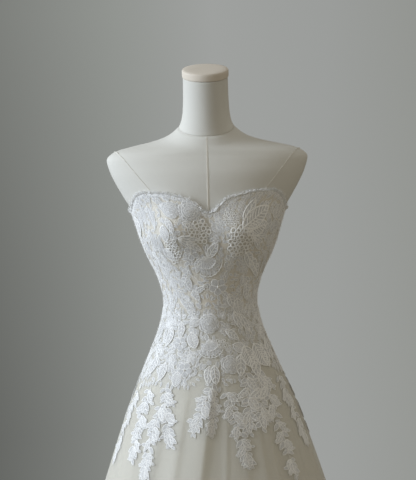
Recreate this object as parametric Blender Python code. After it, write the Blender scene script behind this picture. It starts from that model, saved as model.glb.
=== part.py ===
"""Strapless lace wedding dress on a limbless dress form.

Metres, +Z up, the front faces -Y and the floor is z = 0. The cloth is built as walls that
run round the form: a boned satin bodice with cups, a satin underskirt, a tulle overskirt
with soft folds, and lace with its gaps cut through. Angles on the garment are degrees
from the centre front, positive towards +X, which is the wearer's left.
"""
import math

import bmesh
import bpy
import numpy as np
from mathutils import Vector
from mathutils.geometry import delaunay_2d_cdt

# Heights of the whole object
WAIST_Z = 1.0600
HEM_SATIN_Z = 0.0120
HEM_TULLE_Z = 0.0150
FORM_BOTTOM_Z = 0.7850

# Walls and the spaces between them
SEAM_GAP = 0.0003
BODICE_GAP = 0.0014
BODICE_WALL = 0.0018
SATIN_WALL = 0.0015
TULLE_WALL = 0.0011
TULLE_GAP = 0.0006
LACE_WALL = 0.0009
LACE_GAP_BODICE = 0.0019
LACE_GAP_SKIRT = 0.0015
LACE_BELOW_NECKLINE = 0.0015
LACE_OFF_WAIST = 0.0014

# Cups stand a little off the form's own bust
CUP_X = 0.078
CUP_Z = 1.235
CUP_REACH = 0.050
CUP_RISE_FORM = 0.019
CUP_RISE_DRESS = 0.022

# Sections of the form: height, half width, front depth, back depth, slope of the ring
FORM_SECTIONS = (
    (0.7850, 0.1560, 0.1050, 0.1230, 0.00),
    (0.8100, 0.1585, 0.1080, 0.1265, 0.00),
    (0.8600, 0.1550, 0.1095, 0.1270, 0.00),
    (0.9100, 0.1440, 0.1080, 0.1210, 0.00),
    (0.9550, 0.1285, 0.1030, 0.1080, 0.00),
    (0.9950, 0.1115, 0.0940, 0.0915, 0.00),
    (1.0300, 0.1003, 0.0855, 0.0790, 0.00),
    (1.0600, 0.0950, 0.0810, 0.0730, 0.00),
    (1.0840, 0.0953, 0.0820, 0.0740, 0.00),
    (1.1090, 0.1005, 0.0840, 0.0770, 0.00),
    (1.1370, 0.1101, 0.0880, 0.0810, 0.00),
    (1.1710, 0.1262, 0.0940, 0.0860, 0.00),
    (1.2050, 0.1391, 0.1000, 0.0900, 0.00),
    (1.2370, 0.1486, 0.1040, 0.0920, 0.00),
    (1.2660, 0.1586, 0.1040, 0.0940, 0.00),
    (1.2960, 0.1755, 0.1010, 0.0960, 0.00),
    (1.3230, 0.1905, 0.0975, 0.0950, 0.00),
    (1.3480, 0.2018, 0.0915, 0.0920, 0.00),
    (1.3730, 0.2080, 0.0790, 0.0850, 0.00),
    (1.3890, 0.1921, 0.0710, 0.0775, 0.03),
    (1.3960, 0.1665, 0.0690, 0.0735, 0.06),
    (1.4060, 0.1154, 0.0655, 0.0670, 0.12),
    (1.4150, 0.0862, 0.0625, 0.0615, 0.20),
    (1.4310, 0.0628, 0.0565, 0.0545, 0.28),
    (1.4370, 0.0570, 0.0530, 0.0520, 0.30),
)

# Sections of the neck: height, half width, half depth, centre's Y, slope of the ring
NECK_SECTIONS = (
    (1.4374, 0.0568, 0.0525, 0.0000, 0.300),
    (1.4510, 0.0514, 0.0500, -0.0030, 0.280),
    (1.4720, 0.0480, 0.0480, -0.0075, 0.250),
    (1.5050, 0.0463, 0.0465, -0.0145, 0.225),
    (1.5400, 0.0457, 0.0460, -0.0220, 0.2217),
)

# Turned profile of the neck cap: radius, height above the neck's top
CAP_PROFILE = (
    (0.0430, 0.0004),
    (0.0468, 0.0016),
    (0.0475, 0.0040),
    (0.0475, 0.0130),
    (0.0462, 0.0158),
    (0.0430, 0.0172),
    (0.0220, 0.0182),
)

# Outer face of the tulle skirt between its folds: height, half width, front depth, back depth
SKIRT_SECTIONS = (
    (0.0120, 0.4410, 0.3850, 0.4550),
    (0.5000, 0.2895, 0.2480, 0.2870),
    (0.6800, 0.2335, 0.1970, 0.2260),
    (0.7700, 0.2040, 0.1700, 0.1920),
    (0.8500, 0.1765, 0.1465, 0.1600),
    (0.9050, 0.1550, 0.1280, 0.1375),
    (0.9550, 0.1340, 0.1125, 0.1165),
    (0.9950, 0.1172, 0.1000, 0.0975),
    (1.0300, 0.1052, 0.0905, 0.0845),
    (1.0596, 0.0990, 0.0850, 0.0768),
)
SKIRT_ROWS = (0.4500, 0.7400, 0.8400, 0.9050, 0.9550, 0.9950, 1.0300)

# Soft folds of the tulle: centre angle, half width in degrees, rise at the hem, height it fades out at
TULLE_FOLDS = (
    (-166.0, 6.5, 0.020, 0.94),
    (-144.0, 7.0, 0.017, 0.90),
    (-122.0, 6.0, 0.021, 0.92),
    (-101.0, 6.5, 0.016, 0.88),
    (-77.0, 6.0, 0.015, 0.86),
    (-58.0, 5.5, 0.019, 0.90),
    (-40.0, 6.0, 0.014, 0.92),
    (-22.0, 6.5, 0.021, 0.94),
    (-3.0, 5.5, 0.018, 0.93),
    (14.0, 6.0, 0.015, 0.88),
    (29.0, 5.0, 0.021, 0.95),
    (47.0, 6.5, 0.014, 0.90),
    (67.0, 6.0, 0.019, 0.88),
    (86.0, 6.5, 0.015, 0.86),
    (106.0, 6.0, 0.020, 0.91),
    (127.0, 6.5, 0.016, 0.90),
    (147.0, 6.0, 0.019, 0.93),
    (168.0, 6.5, 0.018, 0.92),
)

# Sweetheart top edge of the bodice, the same on both sides: angle from the centre front, height
NECKLINE = (
    (0.0, 1.2715),
    (4.0, 1.2760),
    (11.0, 1.2975),
    (20.0, 1.3070),
    (30.0, 1.3120),
    (43.0, 1.3120),
    (50.0, 1.3060),
    (57.0, 1.2965),
    (64.0, 1.2845),
    (72.0, 1.2730),
    (81.0, 1.2655),
    (90.0, 1.2625),
    (130.0, 1.2635),
    (180.0, 1.2680),
)

# Mean height of a bodice panel, which places its seam gaps
BODICE_HEIGHT = 0.2200

# Princess seam over the cup: share of the panel's height, angle from the centre front
PRINCESS_SEAM = ((0.0, 25.0), (0.40, 30.0), (0.72, 36.0), (1.0, 35.0))

# Lower edge of the skirt lace before its sprays: angle, height
LACE_YOKE_FRONT = (
    (-90.0, 0.918), (-72.0, 0.902), (-56.0, 0.914), (-40.0, 0.918), (-23.0, 0.915),
    (-15.0, 0.924), (-9.9, 0.944), (-6.6, 0.960), (-2.5, 0.948), (2.0, 0.926),
    (6.5, 0.915), (13.0, 0.930), (22.0, 0.926), (30.0, 0.946), (38.0, 0.956),
    (50.0, 0.956), (62.0, 0.944), (75.0, 0.928), (90.0, 0.918),
)
LACE_YOKE_BACK = (
    (90.0, 0.918), (104.0, 0.934), (116.0, 0.915), (130.0, 0.938), (142.0, 0.920),
    (156.0, 0.944), (168.0, 0.922), (180.0, 0.940),
)

# Trailing sprays: root angle, root height, heading from straight down towards +angle,
# bend along the spray, length, count of leaves, length of a leaf
SPRAYS_FRONT = (
    (-72.0, 0.900, -14.0, 14.0, 0.165, 6, 0.032),
    (-56.0, 0.912, 0.0, 5.0, 0.150, 5, 0.034),
    (-40.0, 0.920, 17.0, 5.0, 0.120, 4, 0.032),
    (-38.0, 0.885, -12.0, 18.0, 0.155, 6, 0.032),
    (2.0, 0.932, -26.0, 8.0, 0.102, 4, 0.030),
    (1.0, 0.905, 6.0, -24.0, 0.072, 2, 0.024),
    (9.0, 0.918, 16.0, -8.0, 0.160, 6, 0.032),
    (30.0, 0.950, -4.0, -10.0, 0.116, 4, 0.036),
    (43.0, 0.952, -12.0, -4.0, 0.112, 3, 0.038),
    (45.0, 0.945, 2.0, 2.0, 0.222, 8, 0.036),
    (66.0, 0.930, 6.0, 4.0, 0.160, 6, 0.032),
)
SPRAYS_BACK = (
    (100.0, 0.925, 4.0, -8.0, 0.150, 5, 0.034),
    (117.0, 0.925, -6.0, 12.0, 0.175, 6, 0.034),
    (135.0, 0.930, 8.0, -6.0, 0.130, 5, 0.034),
    (150.0, 0.935, -4.0, 8.0, 0.180, 6, 0.034),
    (167.0, 0.930, 2.0, 2.0, 0.140, 4, 0.032),
)
SPRAY_STEPS = 12
STEM_HALF = 0.0030
LEAF_RATIO = 0.40
LEAF_SPREAD = 34.0
LEAF_SHRINK = 0.18

# Gaps cut through the lace where bare cloth shows: angle, height, turn, length, width
GAPS_BODICE_FRONT = (
    (-21.6, 1.2434, 80.0, 0.030, 0.020),
    (-22.5, 1.1897, 8.0, 0.030, 0.011),
    (11.1, 1.2073, 60.0, 0.028, 0.019),
    (-2.8, 1.0900, 82.0, 0.040, 0.022),
    (35.5, 1.2326, 20.0, 0.024, 0.012),
    (37.2, 1.1843, -15.0, 0.028, 0.011),
    (26.6, 1.1344, 40.0, 0.026, 0.012),
    (-13.5, 1.1612, 65.0, 0.026, 0.012),
    (30.4, 1.1039, 20.0, 0.028, 0.013),
    (-5.1, 1.1291, 30.0, 0.022, 0.011),
    (-45.0, 1.1500, 12.0, 0.030, 0.010),
    (-62.0, 1.2050, 5.0, 0.034, 0.010),
    (60.0, 1.1950, -12.0, 0.034, 0.012),
    (58.0, 1.1250, 14.0, 0.026, 0.011),
    (-72.0, 1.1100, -10.0, 0.028, 0.010),
    (77.0, 1.2180, 10.0, 0.028, 0.011),
)
GAPS_BODICE_BACK = (
    (112.0, 1.1500, -20.0, 0.030, 0.013),
    (126.0, 1.2050, 30.0, 0.032, 0.014),
    (138.0, 1.1150, 10.0, 0.028, 0.012),
    (150.0, 1.2350, -25.0, 0.032, 0.014),
    (158.0, 1.1700, 18.0, 0.030, 0.013),
)
GAPS_SKIRT_FRONT = (
    (24.5, 1.0360, 20.0, 0.026, 0.013),
    (36.0, 0.9900, 12.0, 0.026, 0.011),
    (-14.0, 1.0200, 70.0, 0.024, 0.011),
    (-30.0, 0.9750, 20.0, 0.026, 0.011),
    (12.0, 0.9700, 50.0, 0.024, 0.011),
    (-52.0, 0.9550, -8.0, 0.030, 0.011),
    (58.0, 0.9850, 14.0, 0.028, 0.011),
    (-68.0, 1.0050, 8.0, 0.028, 0.011),
    (76.0, 0.9800, -8.0, 0.028, 0.011),
)
GAPS_SKIRT_BACK = (
    (104.0, 0.9850, 8.0, 0.030, 0.012),
    (122.0, 0.9750, -12.0, 0.030, 0.012),
    (118.0, 1.0250, 20.0, 0.024, 0.011),
    (140.0, 0.9900, 15.0, 0.030, 0.012),
    (158.0, 0.9800, -8.0, 0.028, 0.012),
    (152.0, 1.0300, 10.0, 0.022, 0.010),
)

# Working grid of the lace outlines, how far a plain stretch may run, the lace's reach up
# and down, and how far it stays off the centre back line
LACE_RADIUS_BODICE = 0.118
LACE_RADIUS_SKIRT = 0.165
LACE_STEP = 0.0030
LACE_SIMPLIFY = 0.0021
LACE_SPACING_CUPS = 0.0155
LACE_SPACING_BACK = 0.0210
LACE_SPACING_SKIRT = 0.0220
LACE_MIN_GAP_AREA = 0.00004
LACE_TOP_Z = 1.3200
LACE_LOWEST_Z = 0.6800
LACE_BACK_EDGE = 0.0033

# Zip in the centre back seam
ZIP_BOTTOM_Z = 0.9550
ZIP_END_GAP = 0.0020
ZIP_HALF_WIDTH = 0.0025
ZIP_OPENING_HALF = 0.0029
ZIP_WALL = 0.0012
ZIP_SUNK = 0.0002
SLIDER_Z = 1.2520
SLIDER_HALF_WIDTH = 0.0032
SLIDER_HALF_HEIGHT = 0.0048
SLIDER_DEPTH = 0.0022
SLIDER_GAP = 0.0003
EAR_INNER = 0.0020
EAR_OUTER = 0.0031
EAR_RADIUS = 0.0017
PIN_RADIUS = 0.0007
PIN_STANDOFF = 0.0045
TAB_BORE = 0.0010
TAB_BARREL = 0.0018
TAB_HALF_WIDTH = 0.0016
TAB_LENGTH = 0.0210
TAB_NECK = 0.0070
TAB_DROP_HALF_WIDTH = 0.0033
TAB_THICKNESS = 0.0012

# Stand, whose foot has a bevelled rim and a socket that narrows upwards
POLE_RADIUS = 0.0130
BASE_RADIUS = 0.1700
BASE_HEIGHT = 0.0080
BASE_BEVEL = 0.0040
FLANGE_RADIUS = 0.0330
FLANGE_TOP_Z = 0.0340

# Arm plates let into the form's sides: centre, outward direction, lean in degrees, half length, half width
PLATE_CENTRE = (0.146, -0.001, 1.317)
PLATE_NORMAL = (0.800, -0.450, -0.400)
PLATE_LEAN = 47.0
PLATE_HALF_HEIGHT = 0.090
PLATE_HALF_DEPTH = 0.050
PLATE_REACH = 0.090

# Columns of faces round the object
FORM_COLUMNS = 32
BODICE_COLUMNS = (10, 8, 8)
BODICE_BANDS = 10
SATIN_COLUMNS = 16
TULLE_COLUMNS = 36
NECK_COLUMNS = 24


def clear_scene():
    for old in list(bpy.data.objects):
        bpy.data.objects.remove(old, do_unlink=True)


def make_material(name, colour, roughness, metallic=0.0):
    material = bpy.data.materials.new(name)
    material.use_nodes = True
    shader = material.node_tree.nodes["Principled BSDF"]
    shader.inputs["Base Color"].default_value = (*colour, 1.0)
    shader.inputs["Roughness"].default_value = roughness
    shader.inputs["Metallic"].default_value = metallic
    return material


def add_object(name, verts, faces, material, smooth=True):
    mesh = bpy.data.meshes.new(name)
    mesh.from_pydata([tuple(v) for v in verts], [], [tuple(f) for f in faces])
    mesh.validate()
    mesh.materials.append(material)
    if smooth:
        mesh.shade_smooth()
        mesh.set_sharp_from_angle(angle=math.radians(50))
    obj = bpy.data.objects.new(name, mesh)
    bpy.context.scene.collection.objects.link(obj)
    return obj


def smooth_curve(rows, column):
    """A function through (row[0], row[column]) that never overshoots its points."""
    xs = np.array([row[0] for row in rows], dtype=float)
    ys = np.array([row[column] for row in rows], dtype=float)
    steps = np.diff(xs)
    slopes = np.diff(ys) / steps
    tangents = np.zeros(len(xs))
    for k in range(1, len(xs) - 1):
        if slopes[k - 1] * slopes[k] > 0:
            tangents[k] = 2 * slopes[k - 1] * slopes[k] / (slopes[k - 1] + slopes[k])
    tangents[0] = slopes[0]
    tangents[-1] = slopes[-1]

    def value(x):
        x = np.clip(np.asarray(x, dtype=float), xs[0], xs[-1])
        k = np.clip(np.searchsorted(xs, x, side="right") - 1, 0, len(steps) - 1)
        t = (x - xs[k]) / steps[k]
        h00 = 2 * t**3 - 3 * t**2 + 1
        h10 = t**3 - 2 * t**2 + t
        h01 = -2 * t**3 + 3 * t**2
        h11 = t**3 - t**2
        ends = h00 * ys[k] + h01 * ys[k + 1]
        return ends + steps[k] * (h10 * tangents[k] + h11 * tangents[k + 1])

    return value


form_half = smooth_curve(FORM_SECTIONS, 1)
form_front = smooth_curve(FORM_SECTIONS, 2)
form_back = smooth_curve(FORM_SECTIONS, 3)
form_slope = smooth_curve(FORM_SECTIONS, 4)
skirt_half = smooth_curve(SKIRT_SECTIONS, 1)
skirt_front = smooth_curve(SKIRT_SECTIONS, 2)
skirt_back = smooth_curve(SKIRT_SECTIONS, 3)
neckline = smooth_curve(NECKLINE, 1)
princess = smooth_curve(PRINCESS_SEAM, 1)
yoke_front = smooth_curve(LACE_YOKE_FRONT, 1)
yoke_back = smooth_curve(LACE_YOKE_BACK, 1)


def ring_point(angle, half, front, back):
    """Point of an egg-shaped ring whose front and back have their own depth."""
    turn = np.radians(angle)
    depth = np.where(np.cos(turn) > 0, front, back)
    return half * np.sin(turn), -depth * np.cos(turn)


def cup_rise(x, y, z, rise):
    """How far the bust stands forward of the plain ring."""
    across = np.exp(-(((np.abs(x) - CUP_X) / CUP_REACH) ** 2) - ((z - CUP_Z) / CUP_REACH) ** 2)
    return np.where(y < 0, rise * across, 0.0)


def body_point(angle, z, out, rise):
    x, y = ring_point(angle, form_half(z) + out, form_front(z) + out, form_back(z) + out)
    return x, y - cup_rise(x, y, z, rise), z


def form_point(angle, z):
    x, y, z = body_point(angle, z, 0.0, CUP_RISE_FORM)
    return x, y, z + form_slope(z) * y


def bodice_point(angle, z, out):
    """out is 0 on the outer face of the satin and negative inside it."""
    return body_point(angle, z, BODICE_GAP + BODICE_WALL + out, CUP_RISE_DRESS)


def fold_rise(angle, z):
    total = np.zeros(np.broadcast(angle, z).shape)
    for centre, width, rise, top in TULLE_FOLDS:
        away = (np.asarray(angle) - centre + 180.0) % 360.0 - 180.0
        fade = np.clip((top - np.asarray(z)) / (top - HEM_TULLE_Z), 0.0, 1.0)
        total = total + rise * fade**1.25 * np.exp(-((away / width) ** 2))
    return total


def skirt_point(angle, z, out, folds=1.0):
    """out is 0 on the outer face of the tulle and negative inside it."""
    out = out + folds * fold_rise(angle, z)
    x, y = ring_point(angle, skirt_half(z) + out, skirt_front(z) + out, skirt_back(z) + out)
    return x, y, z


def grid_shell(name, outer, inner, material):
    """Closed wall between two grids of points of the same size, indexed [row][column]."""
    rows = len(outer)
    columns = len(outer[0])
    verts = [p for row in outer for p in row] + [p for row in inner for p in row]
    shift = rows * columns

    def at(r, c):
        return r * columns + c

    faces = []
    for r in range(rows - 1):
        for c in range(columns - 1):
            faces.append((at(r, c), at(r, c + 1), at(r + 1, c + 1), at(r + 1, c)))
            faces.append(tuple(shift + k for k in (at(r, c), at(r + 1, c), at(r + 1, c + 1), at(r, c + 1))))
    rim = [at(0, c) for c in range(columns)]
    rim += [at(r, columns - 1) for r in range(1, rows)]
    rim += [at(rows - 1, c) for c in range(columns - 2, -1, -1)]
    rim += [at(r, 0) for r in range(rows - 2, 0, -1)]
    for k, a in enumerate(rim):
        b = rim[(k + 1) % len(rim)]
        faces.append((b, a, shift + a, shift + b))
    return add_object(name, verts, faces, material)


def loft(name, rings, material):
    """Closed solid through rings of the same count, from the bottom up."""
    count = len(rings[0])
    verts = [p for ring in rings for p in ring]
    faces = []
    for k in range(len(rings) - 1):
        low = k * count
        high = low + count
        for c in range(count):
            d = (c + 1) % count
            faces.append((low + c, low + d, high + d, high + c))
    faces.append(tuple(reversed(range(count))))
    faces.append(tuple(range((len(rings) - 1) * count, len(rings) * count)))
    return add_object(name, verts, faces, material)


def turned(name, profile, columns, material, place=None):
    """Solid turned from (radius, height) pairs, bottom to top, and moved by place."""
    rings = []
    for radius, height in profile:
        ring = []
        for c in range(columns):
            turn = 2 * math.pi * c / columns
            point = (radius * math.cos(turn), radius * math.sin(turn), height)
            ring.append(place(point) if place else point)
        rings.append(ring)
    return loft(name, rings, material)


def boolean(target, cutter, operation):
    modifier = target.modifiers.new(operation.lower(), "BOOLEAN")
    modifier.operation = operation
    modifier.object = cutter
    modifier.solver = "EXACT"
    cutter.hide_render = True
    cutter.display_type = "WIRE"


def make_plate_cutter(name, side, growth):
    """Oval prism across the form's side, side -1 for the wearer's right and 1 for the left."""
    normal = Vector((side * PLATE_NORMAL[0], PLATE_NORMAL[1], PLATE_NORMAL[2])).normalized()
    centre = Vector((side * PLATE_CENTRE[0], PLATE_CENTRE[1], PLATE_CENTRE[2]))
    level = normal.cross(Vector((0, 0, 1))).normalized() * side
    steep = level.cross(normal).normalized() * side
    lean = math.radians(PLATE_LEAN)
    along = level * math.cos(lean) + steep * math.sin(lean)
    upward = steep * math.cos(lean) - level * math.sin(lean)
    rings = []
    for reach in (-growth, PLATE_REACH):
        ring = []
        for c in range(NECK_COLUMNS):
            turn = side * 2 * math.pi * c / NECK_COLUMNS
            offset = along * (PLATE_HALF_DEPTH + growth) * math.cos(turn)
            offset += upward * (PLATE_HALF_HEIGHT + growth) * math.sin(turn)
            ring.append(centre + normal * reach + offset)
        rings.append(ring)
    cutter = loft(name, rings, bpy.data.materials["form jersey"])
    bm = bmesh.new()
    bm.from_mesh(cutter.data)
    bmesh.ops.recalc_face_normals(bm, faces=bm.faces)
    bm.to_mesh(cutter.data)
    bm.free()
    return cutter


def make_form():
    jersey = bpy.data.materials["form jersey"]
    angles = -180.0 + 360.0 / FORM_COLUMNS * np.arange(FORM_COLUMNS)
    rings = []
    for row in FORM_SECTIONS:
        x, y, z = form_point(angles, np.full(FORM_COLUMNS, row[0]))
        rings.append(list(zip(x, y, z)))
    torso = loft("dress_form_torso", rings, jersey)
    for side, word in ((-1, "right"), (1, "left")):
        plate = loft("dress_form_arm_plate_" + word, rings, jersey)
        boolean(plate, make_plate_cutter("plate_guide_" + word, side, 0.0), "INTERSECT")
        boolean(torso, make_plate_cutter("pocket_guide_" + word, side, SEAM_GAP), "DIFFERENCE")

    neck_angles = np.radians(360.0 / NECK_COLUMNS * np.arange(NECK_COLUMNS))
    rings = []
    for z, half, depth, centre, slope in NECK_SECTIONS:
        x = half * np.cos(neck_angles)
        y = depth * np.sin(neck_angles)
        rings.append(list(zip(x, centre + y, z + slope * y)))
    loft("dress_form_neck", rings, jersey)

    top = NECK_SECTIONS[-1]
    tilt = math.atan(top[4])
    top_centre = Vector((0.0, top[3], top[0]))

    def on_neck(point):
        x, y, z = point
        turned_y = y * math.cos(tilt) - z * math.sin(tilt)
        turned_z = y * math.sin(tilt) + z * math.cos(tilt)
        return top_centre + Vector((x, turned_y, turned_z))

    turned("dress_form_cap", CAP_PROFILE, NECK_COLUMNS, bpy.data.materials["cap cloth"], on_neck)


def make_stand():
    steel = bpy.data.materials["stand steel"]
    foot = (
        (BASE_RADIUS, 0.0),
        (BASE_RADIUS, BASE_HEIGHT - BASE_BEVEL),
        (BASE_RADIUS - BASE_BEVEL, BASE_HEIGHT),
        (FLANGE_RADIUS, BASE_HEIGHT),
        (FLANGE_RADIUS * 0.7, FLANGE_TOP_Z),
    )
    turned("stand_base", foot, 32, steel)
    rod = (
        (POLE_RADIUS, FLANGE_TOP_Z + SEAM_GAP),
        (POLE_RADIUS, FORM_BOTTOM_Z - SEAM_GAP),
    )
    turned("stand_pole", rod, 16, steel)


def edge_shift(z, distance, half):
    """Degrees that a distance along the cloth takes up at a side or centre seam."""
    return np.degrees(distance / half(z))


def make_bodice_panel(name, left, right, columns, shift_left, shift_right):
    """left and right give the panel's seams as angles at each share of its height."""
    outer = []
    inner = []
    for row in range(BODICE_BANDS + 1):
        share = row / BODICE_BANDS
        middle = WAIST_Z + share * BODICE_HEIGHT
        start = left(share) + edge_shift(middle, shift_left, form_half)
        stop = right(share) - edge_shift(middle, shift_right, form_half)
        angle = np.linspace(start, stop, columns + 1)
        z = WAIST_Z + share * (neckline(np.abs(angle)) - WAIST_Z)
        outer.append(list(zip(*bodice_point(angle, z, 0.0))))
        inner.append(list(zip(*bodice_point(angle, z, -BODICE_WALL))))
    grid_shell(name, outer, inner, bpy.data.materials["bodice satin"])


def make_bodice():
    centre, side, back = BODICE_COLUMNS
    seam = SEAM_GAP / 2
    make_bodice_panel("bodice_centre_front", lambda s: -princess(s), princess, centre, seam, seam)
    make_bodice_panel("bodice_side_front_left", princess, lambda s: 90.0, side, seam, seam)
    make_bodice_panel("bodice_side_front_right", lambda s: -90.0, lambda s: -princess(s), side, seam, seam)
    make_bodice_panel("bodice_back_left", lambda s: 90.0, lambda s: 180.0, back, seam, ZIP_OPENING_HALF)
    make_bodice_panel("bodice_back_right", lambda s: -180.0, lambda s: -90.0, back, ZIP_OPENING_HALF, seam)


def make_skirt_panel(name, start, stop, columns, hem, layer, material):
    """layer is the outer and inner offset of the wall and how much of the folds it follows."""
    out, inside, folds = layer
    rows = (hem, *SKIRT_ROWS, SKIRT_SECTIONS[-1][0])
    outer = []
    inner = []
    for z in rows:
        at_back = ZIP_OPENING_HALF if z >= ZIP_BOTTOM_Z else SEAM_GAP / 2
        first = start + edge_shift(z, at_back if start == -180.0 else SEAM_GAP / 2, skirt_half)
        last = stop - edge_shift(z, at_back if stop == 180.0 else SEAM_GAP / 2, skirt_half)
        angle = np.linspace(start, stop, columns + 1)
        angle[0] = first
        angle[-1] = last
        height = np.full(columns + 1, z)
        outer.append(list(zip(*skirt_point(angle, height, out, folds))))
        inner.append(list(zip(*skirt_point(angle, height, inside, folds))))
    grid_shell(name, outer, inner, bpy.data.materials[material])


def make_skirts():
    satin_out = -(TULLE_WALL + TULLE_GAP)
    satin = (satin_out, satin_out - SATIN_WALL, 0.0)
    tulle = (0.0, -TULLE_WALL, 1.0)
    half_satin = SATIN_COLUMNS // 2
    half_tulle = TULLE_COLUMNS // 2
    make_skirt_panel("skirt_satin_front", -90.0, 90.0, SATIN_COLUMNS, HEM_SATIN_Z, satin, "skirt satin")
    make_skirt_panel("skirt_satin_back_left", 90.0, 180.0, half_satin, HEM_SATIN_Z, satin, "skirt satin")
    make_skirt_panel("skirt_satin_back_right", -180.0, -90.0, half_satin, HEM_SATIN_Z, satin, "skirt satin")
    make_skirt_panel("skirt_tulle_front", -90.0, 90.0, TULLE_COLUMNS, HEM_TULLE_Z, tulle, "soft tulle")
    make_skirt_panel("skirt_tulle_back_left", 90.0, 180.0, half_tulle, HEM_TULLE_Z, tulle, "soft tulle")
    make_skirt_panel("skirt_tulle_back_right", -180.0, -90.0, half_tulle, HEM_TULLE_Z, tulle, "soft tulle")


def leaf_field(angle, z, root_angle, root_z, heading, length, width, radius):
    """Positive inside a leaf that starts at its root and points along heading."""
    across_x = np.radians(angle - root_angle) * radius
    down = z - root_z
    turn = math.radians(heading)
    along = across_x * math.sin(turn) - down * math.cos(turn)
    aside = across_x * math.cos(turn) + down * math.sin(turn)
    share = np.clip(along / length, 0.0, 1.0)
    half = width / 2 * np.sin(np.pi * share**0.85) ** 0.8
    beyond = np.maximum(np.maximum(-along, along - length), 0.0)
    return half - np.hypot(aside, beyond) - beyond * 0.001


def spray_path(row, radius_at):
    """Points and headings along a spray's stem, in angle and height."""
    angle, z, heading, bend, length = row[:5]
    steps = SPRAY_STEPS
    path = [(angle, z, heading)]
    for k in range(steps):
        turn = math.radians(heading + bend * (k + 0.5) / steps)
        step = length / steps
        angle += math.degrees(step * math.sin(turn) / float(radius_at(z)))
        z -= step * math.cos(turn)
        path.append((angle, z, heading + bend * (k + 1) / steps))
    return path


def spray_field(angle, z, row, radius_at):
    count, leaf = row[5], row[6]
    path = spray_path(row, radius_at)
    best = np.full(angle.shape, -1.0)
    for (a0, z0, heading), (a1, z1, _) in zip(path[:-1], path[1:]):
        radius = float(radius_at(z0))
        ux = np.radians(angle - a0) * radius
        uz = z - z0
        vx = math.radians(a1 - a0) * radius
        vz = z1 - z0
        share = np.clip((ux * vx + uz * vz) / (vx * vx + vz * vz), 0.0, 1.0)
        best = np.maximum(best, STEM_HALF - np.hypot(ux - share * vx, uz - share * vz))
    for k in range(count):
        at = path[int(round((k + 0.6) / count * (len(path) - 3)))]
        side = 1 if k % 2 == 0 else -1
        heading = at[2] + side * LEAF_SPREAD
        size = leaf * (1.0 - LEAF_SHRINK * k / count)
        radius = float(radius_at(at[1]))
        blade = leaf_field(angle, z, at[0], at[1], heading, size, size * LEAF_RATIO, radius)
        best = np.maximum(best, blade)
    tip = path[-3]
    radius = float(radius_at(tip[1]))
    return np.maximum(best, leaf_field(angle, z, tip[0], tip[1], tip[2], leaf, leaf * LEAF_RATIO, radius))


def contour_loops(field, xs, ys):
    """Closed outlines of field = 0 on a grid, field[i][j] at (xs[i], ys[j])."""
    links = {}

    def crossing(i0, j0, i1, j1):
        f0 = field[i0, j0]
        f1 = field[i1, j1]
        t = min(max(f0 / (f0 - f1), 0.02), 0.98)
        point = (xs[i0] + t * (xs[i1] - xs[i0]), ys[j0] + t * (ys[j1] - ys[j0]))
        return (min(i0, i1), min(j0, j1), int(i0 != i1)), point

    places = {}
    inside = field > 0
    for i in range(len(xs) - 1):
        for j in range(len(ys) - 1):
            ring = ((i, j), (i + 1, j), (i + 1, j + 1), (i, j + 1))
            states = [inside[c] for c in ring]
            if all(states) or not any(states):
                continue
            entries = []
            for k in range(4):
                a = ring[k]
                b = ring[(k + 1) % 4]
                if states[k] != states[(k + 1) % 4]:
                    key, point = crossing(*a, *b)
                    places[key] = point
                    entries.append((key, states[k]))
            if not entries[0][1]:
                entries = entries[1:] + entries[:1]
            for k in range(0, len(entries), 2):
                links[entries[k][0]] = entries[k + 1][0]
    loops = []
    while links:
        start = next(iter(links))
        loop = [start]
        step = links.pop(start)
        while step != start:
            loop.append(step)
            step = links.pop(step)
        loops.append(np.array([places[key] for key in loop]))
    return loops


def loop_area(loop):
    x, y = loop[:, 0], loop[:, 1]
    return 0.5 * float(np.sum(x * np.roll(y, -1) - y * np.roll(x, -1)))


def simplify(points, tolerance):
    """Keeps the points that an outline needs to stay within tolerance."""
    if len(points) < 3:
        return points
    first, last = points[0], points[-1]
    line = last - first
    length = float(np.hypot(*line))
    rest = points[1:-1] - first
    if length < 1e-9:
        away = np.hypot(rest[:, 0], rest[:, 1])
    else:
        away = np.abs(rest[:, 0] * line[1] - rest[:, 1] * line[0]) / length
    worst = int(np.argmax(away))
    if away[worst] <= tolerance:
        return np.array([first, last])
    left = simplify(points[: worst + 2], tolerance)
    right = simplify(points[worst + 1 :], tolerance)
    return np.vstack([left[:-1], right])


def simplify_loop(loop, tolerance):
    far = int(np.argmax(np.hypot(*(loop - loop[0]).T)))
    a = simplify(loop[: far + 1], tolerance)
    b = simplify(np.vstack([loop[far:], loop[:1]]), tolerance)
    return np.vstack([a[:-1], b[:-1]])


def split_long_edges(loop, spacing):
    """Adds points along straight stretches, which the round body would otherwise cut off."""
    points = []
    for start, stop in zip(loop, np.roll(loop, -1, axis=0)):
        parts = max(1, math.ceil(float(np.hypot(*(stop - start))) / spacing))
        points += [start + (stop - start) * k / parts for k in range(parts)]
    return np.array(points)


def inside_loops(points, loops):
    """Even-odd test of points against all loops."""
    odd = np.zeros(len(points), dtype=bool)
    px, py = points[:, 0], points[:, 1]
    for loop in loops:
        for (x0, y0), (x1, y1) in zip(loop, np.roll(loop, -1, axis=0)):
            spans = (y0 > py) != (y1 > py)
            with np.errstate(divide="ignore", invalid="ignore"):
                cut = x0 + (py - y0) / (y1 - y0) * (x1 - x0)
            odd ^= spans & (px < cut)
    return odd


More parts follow.
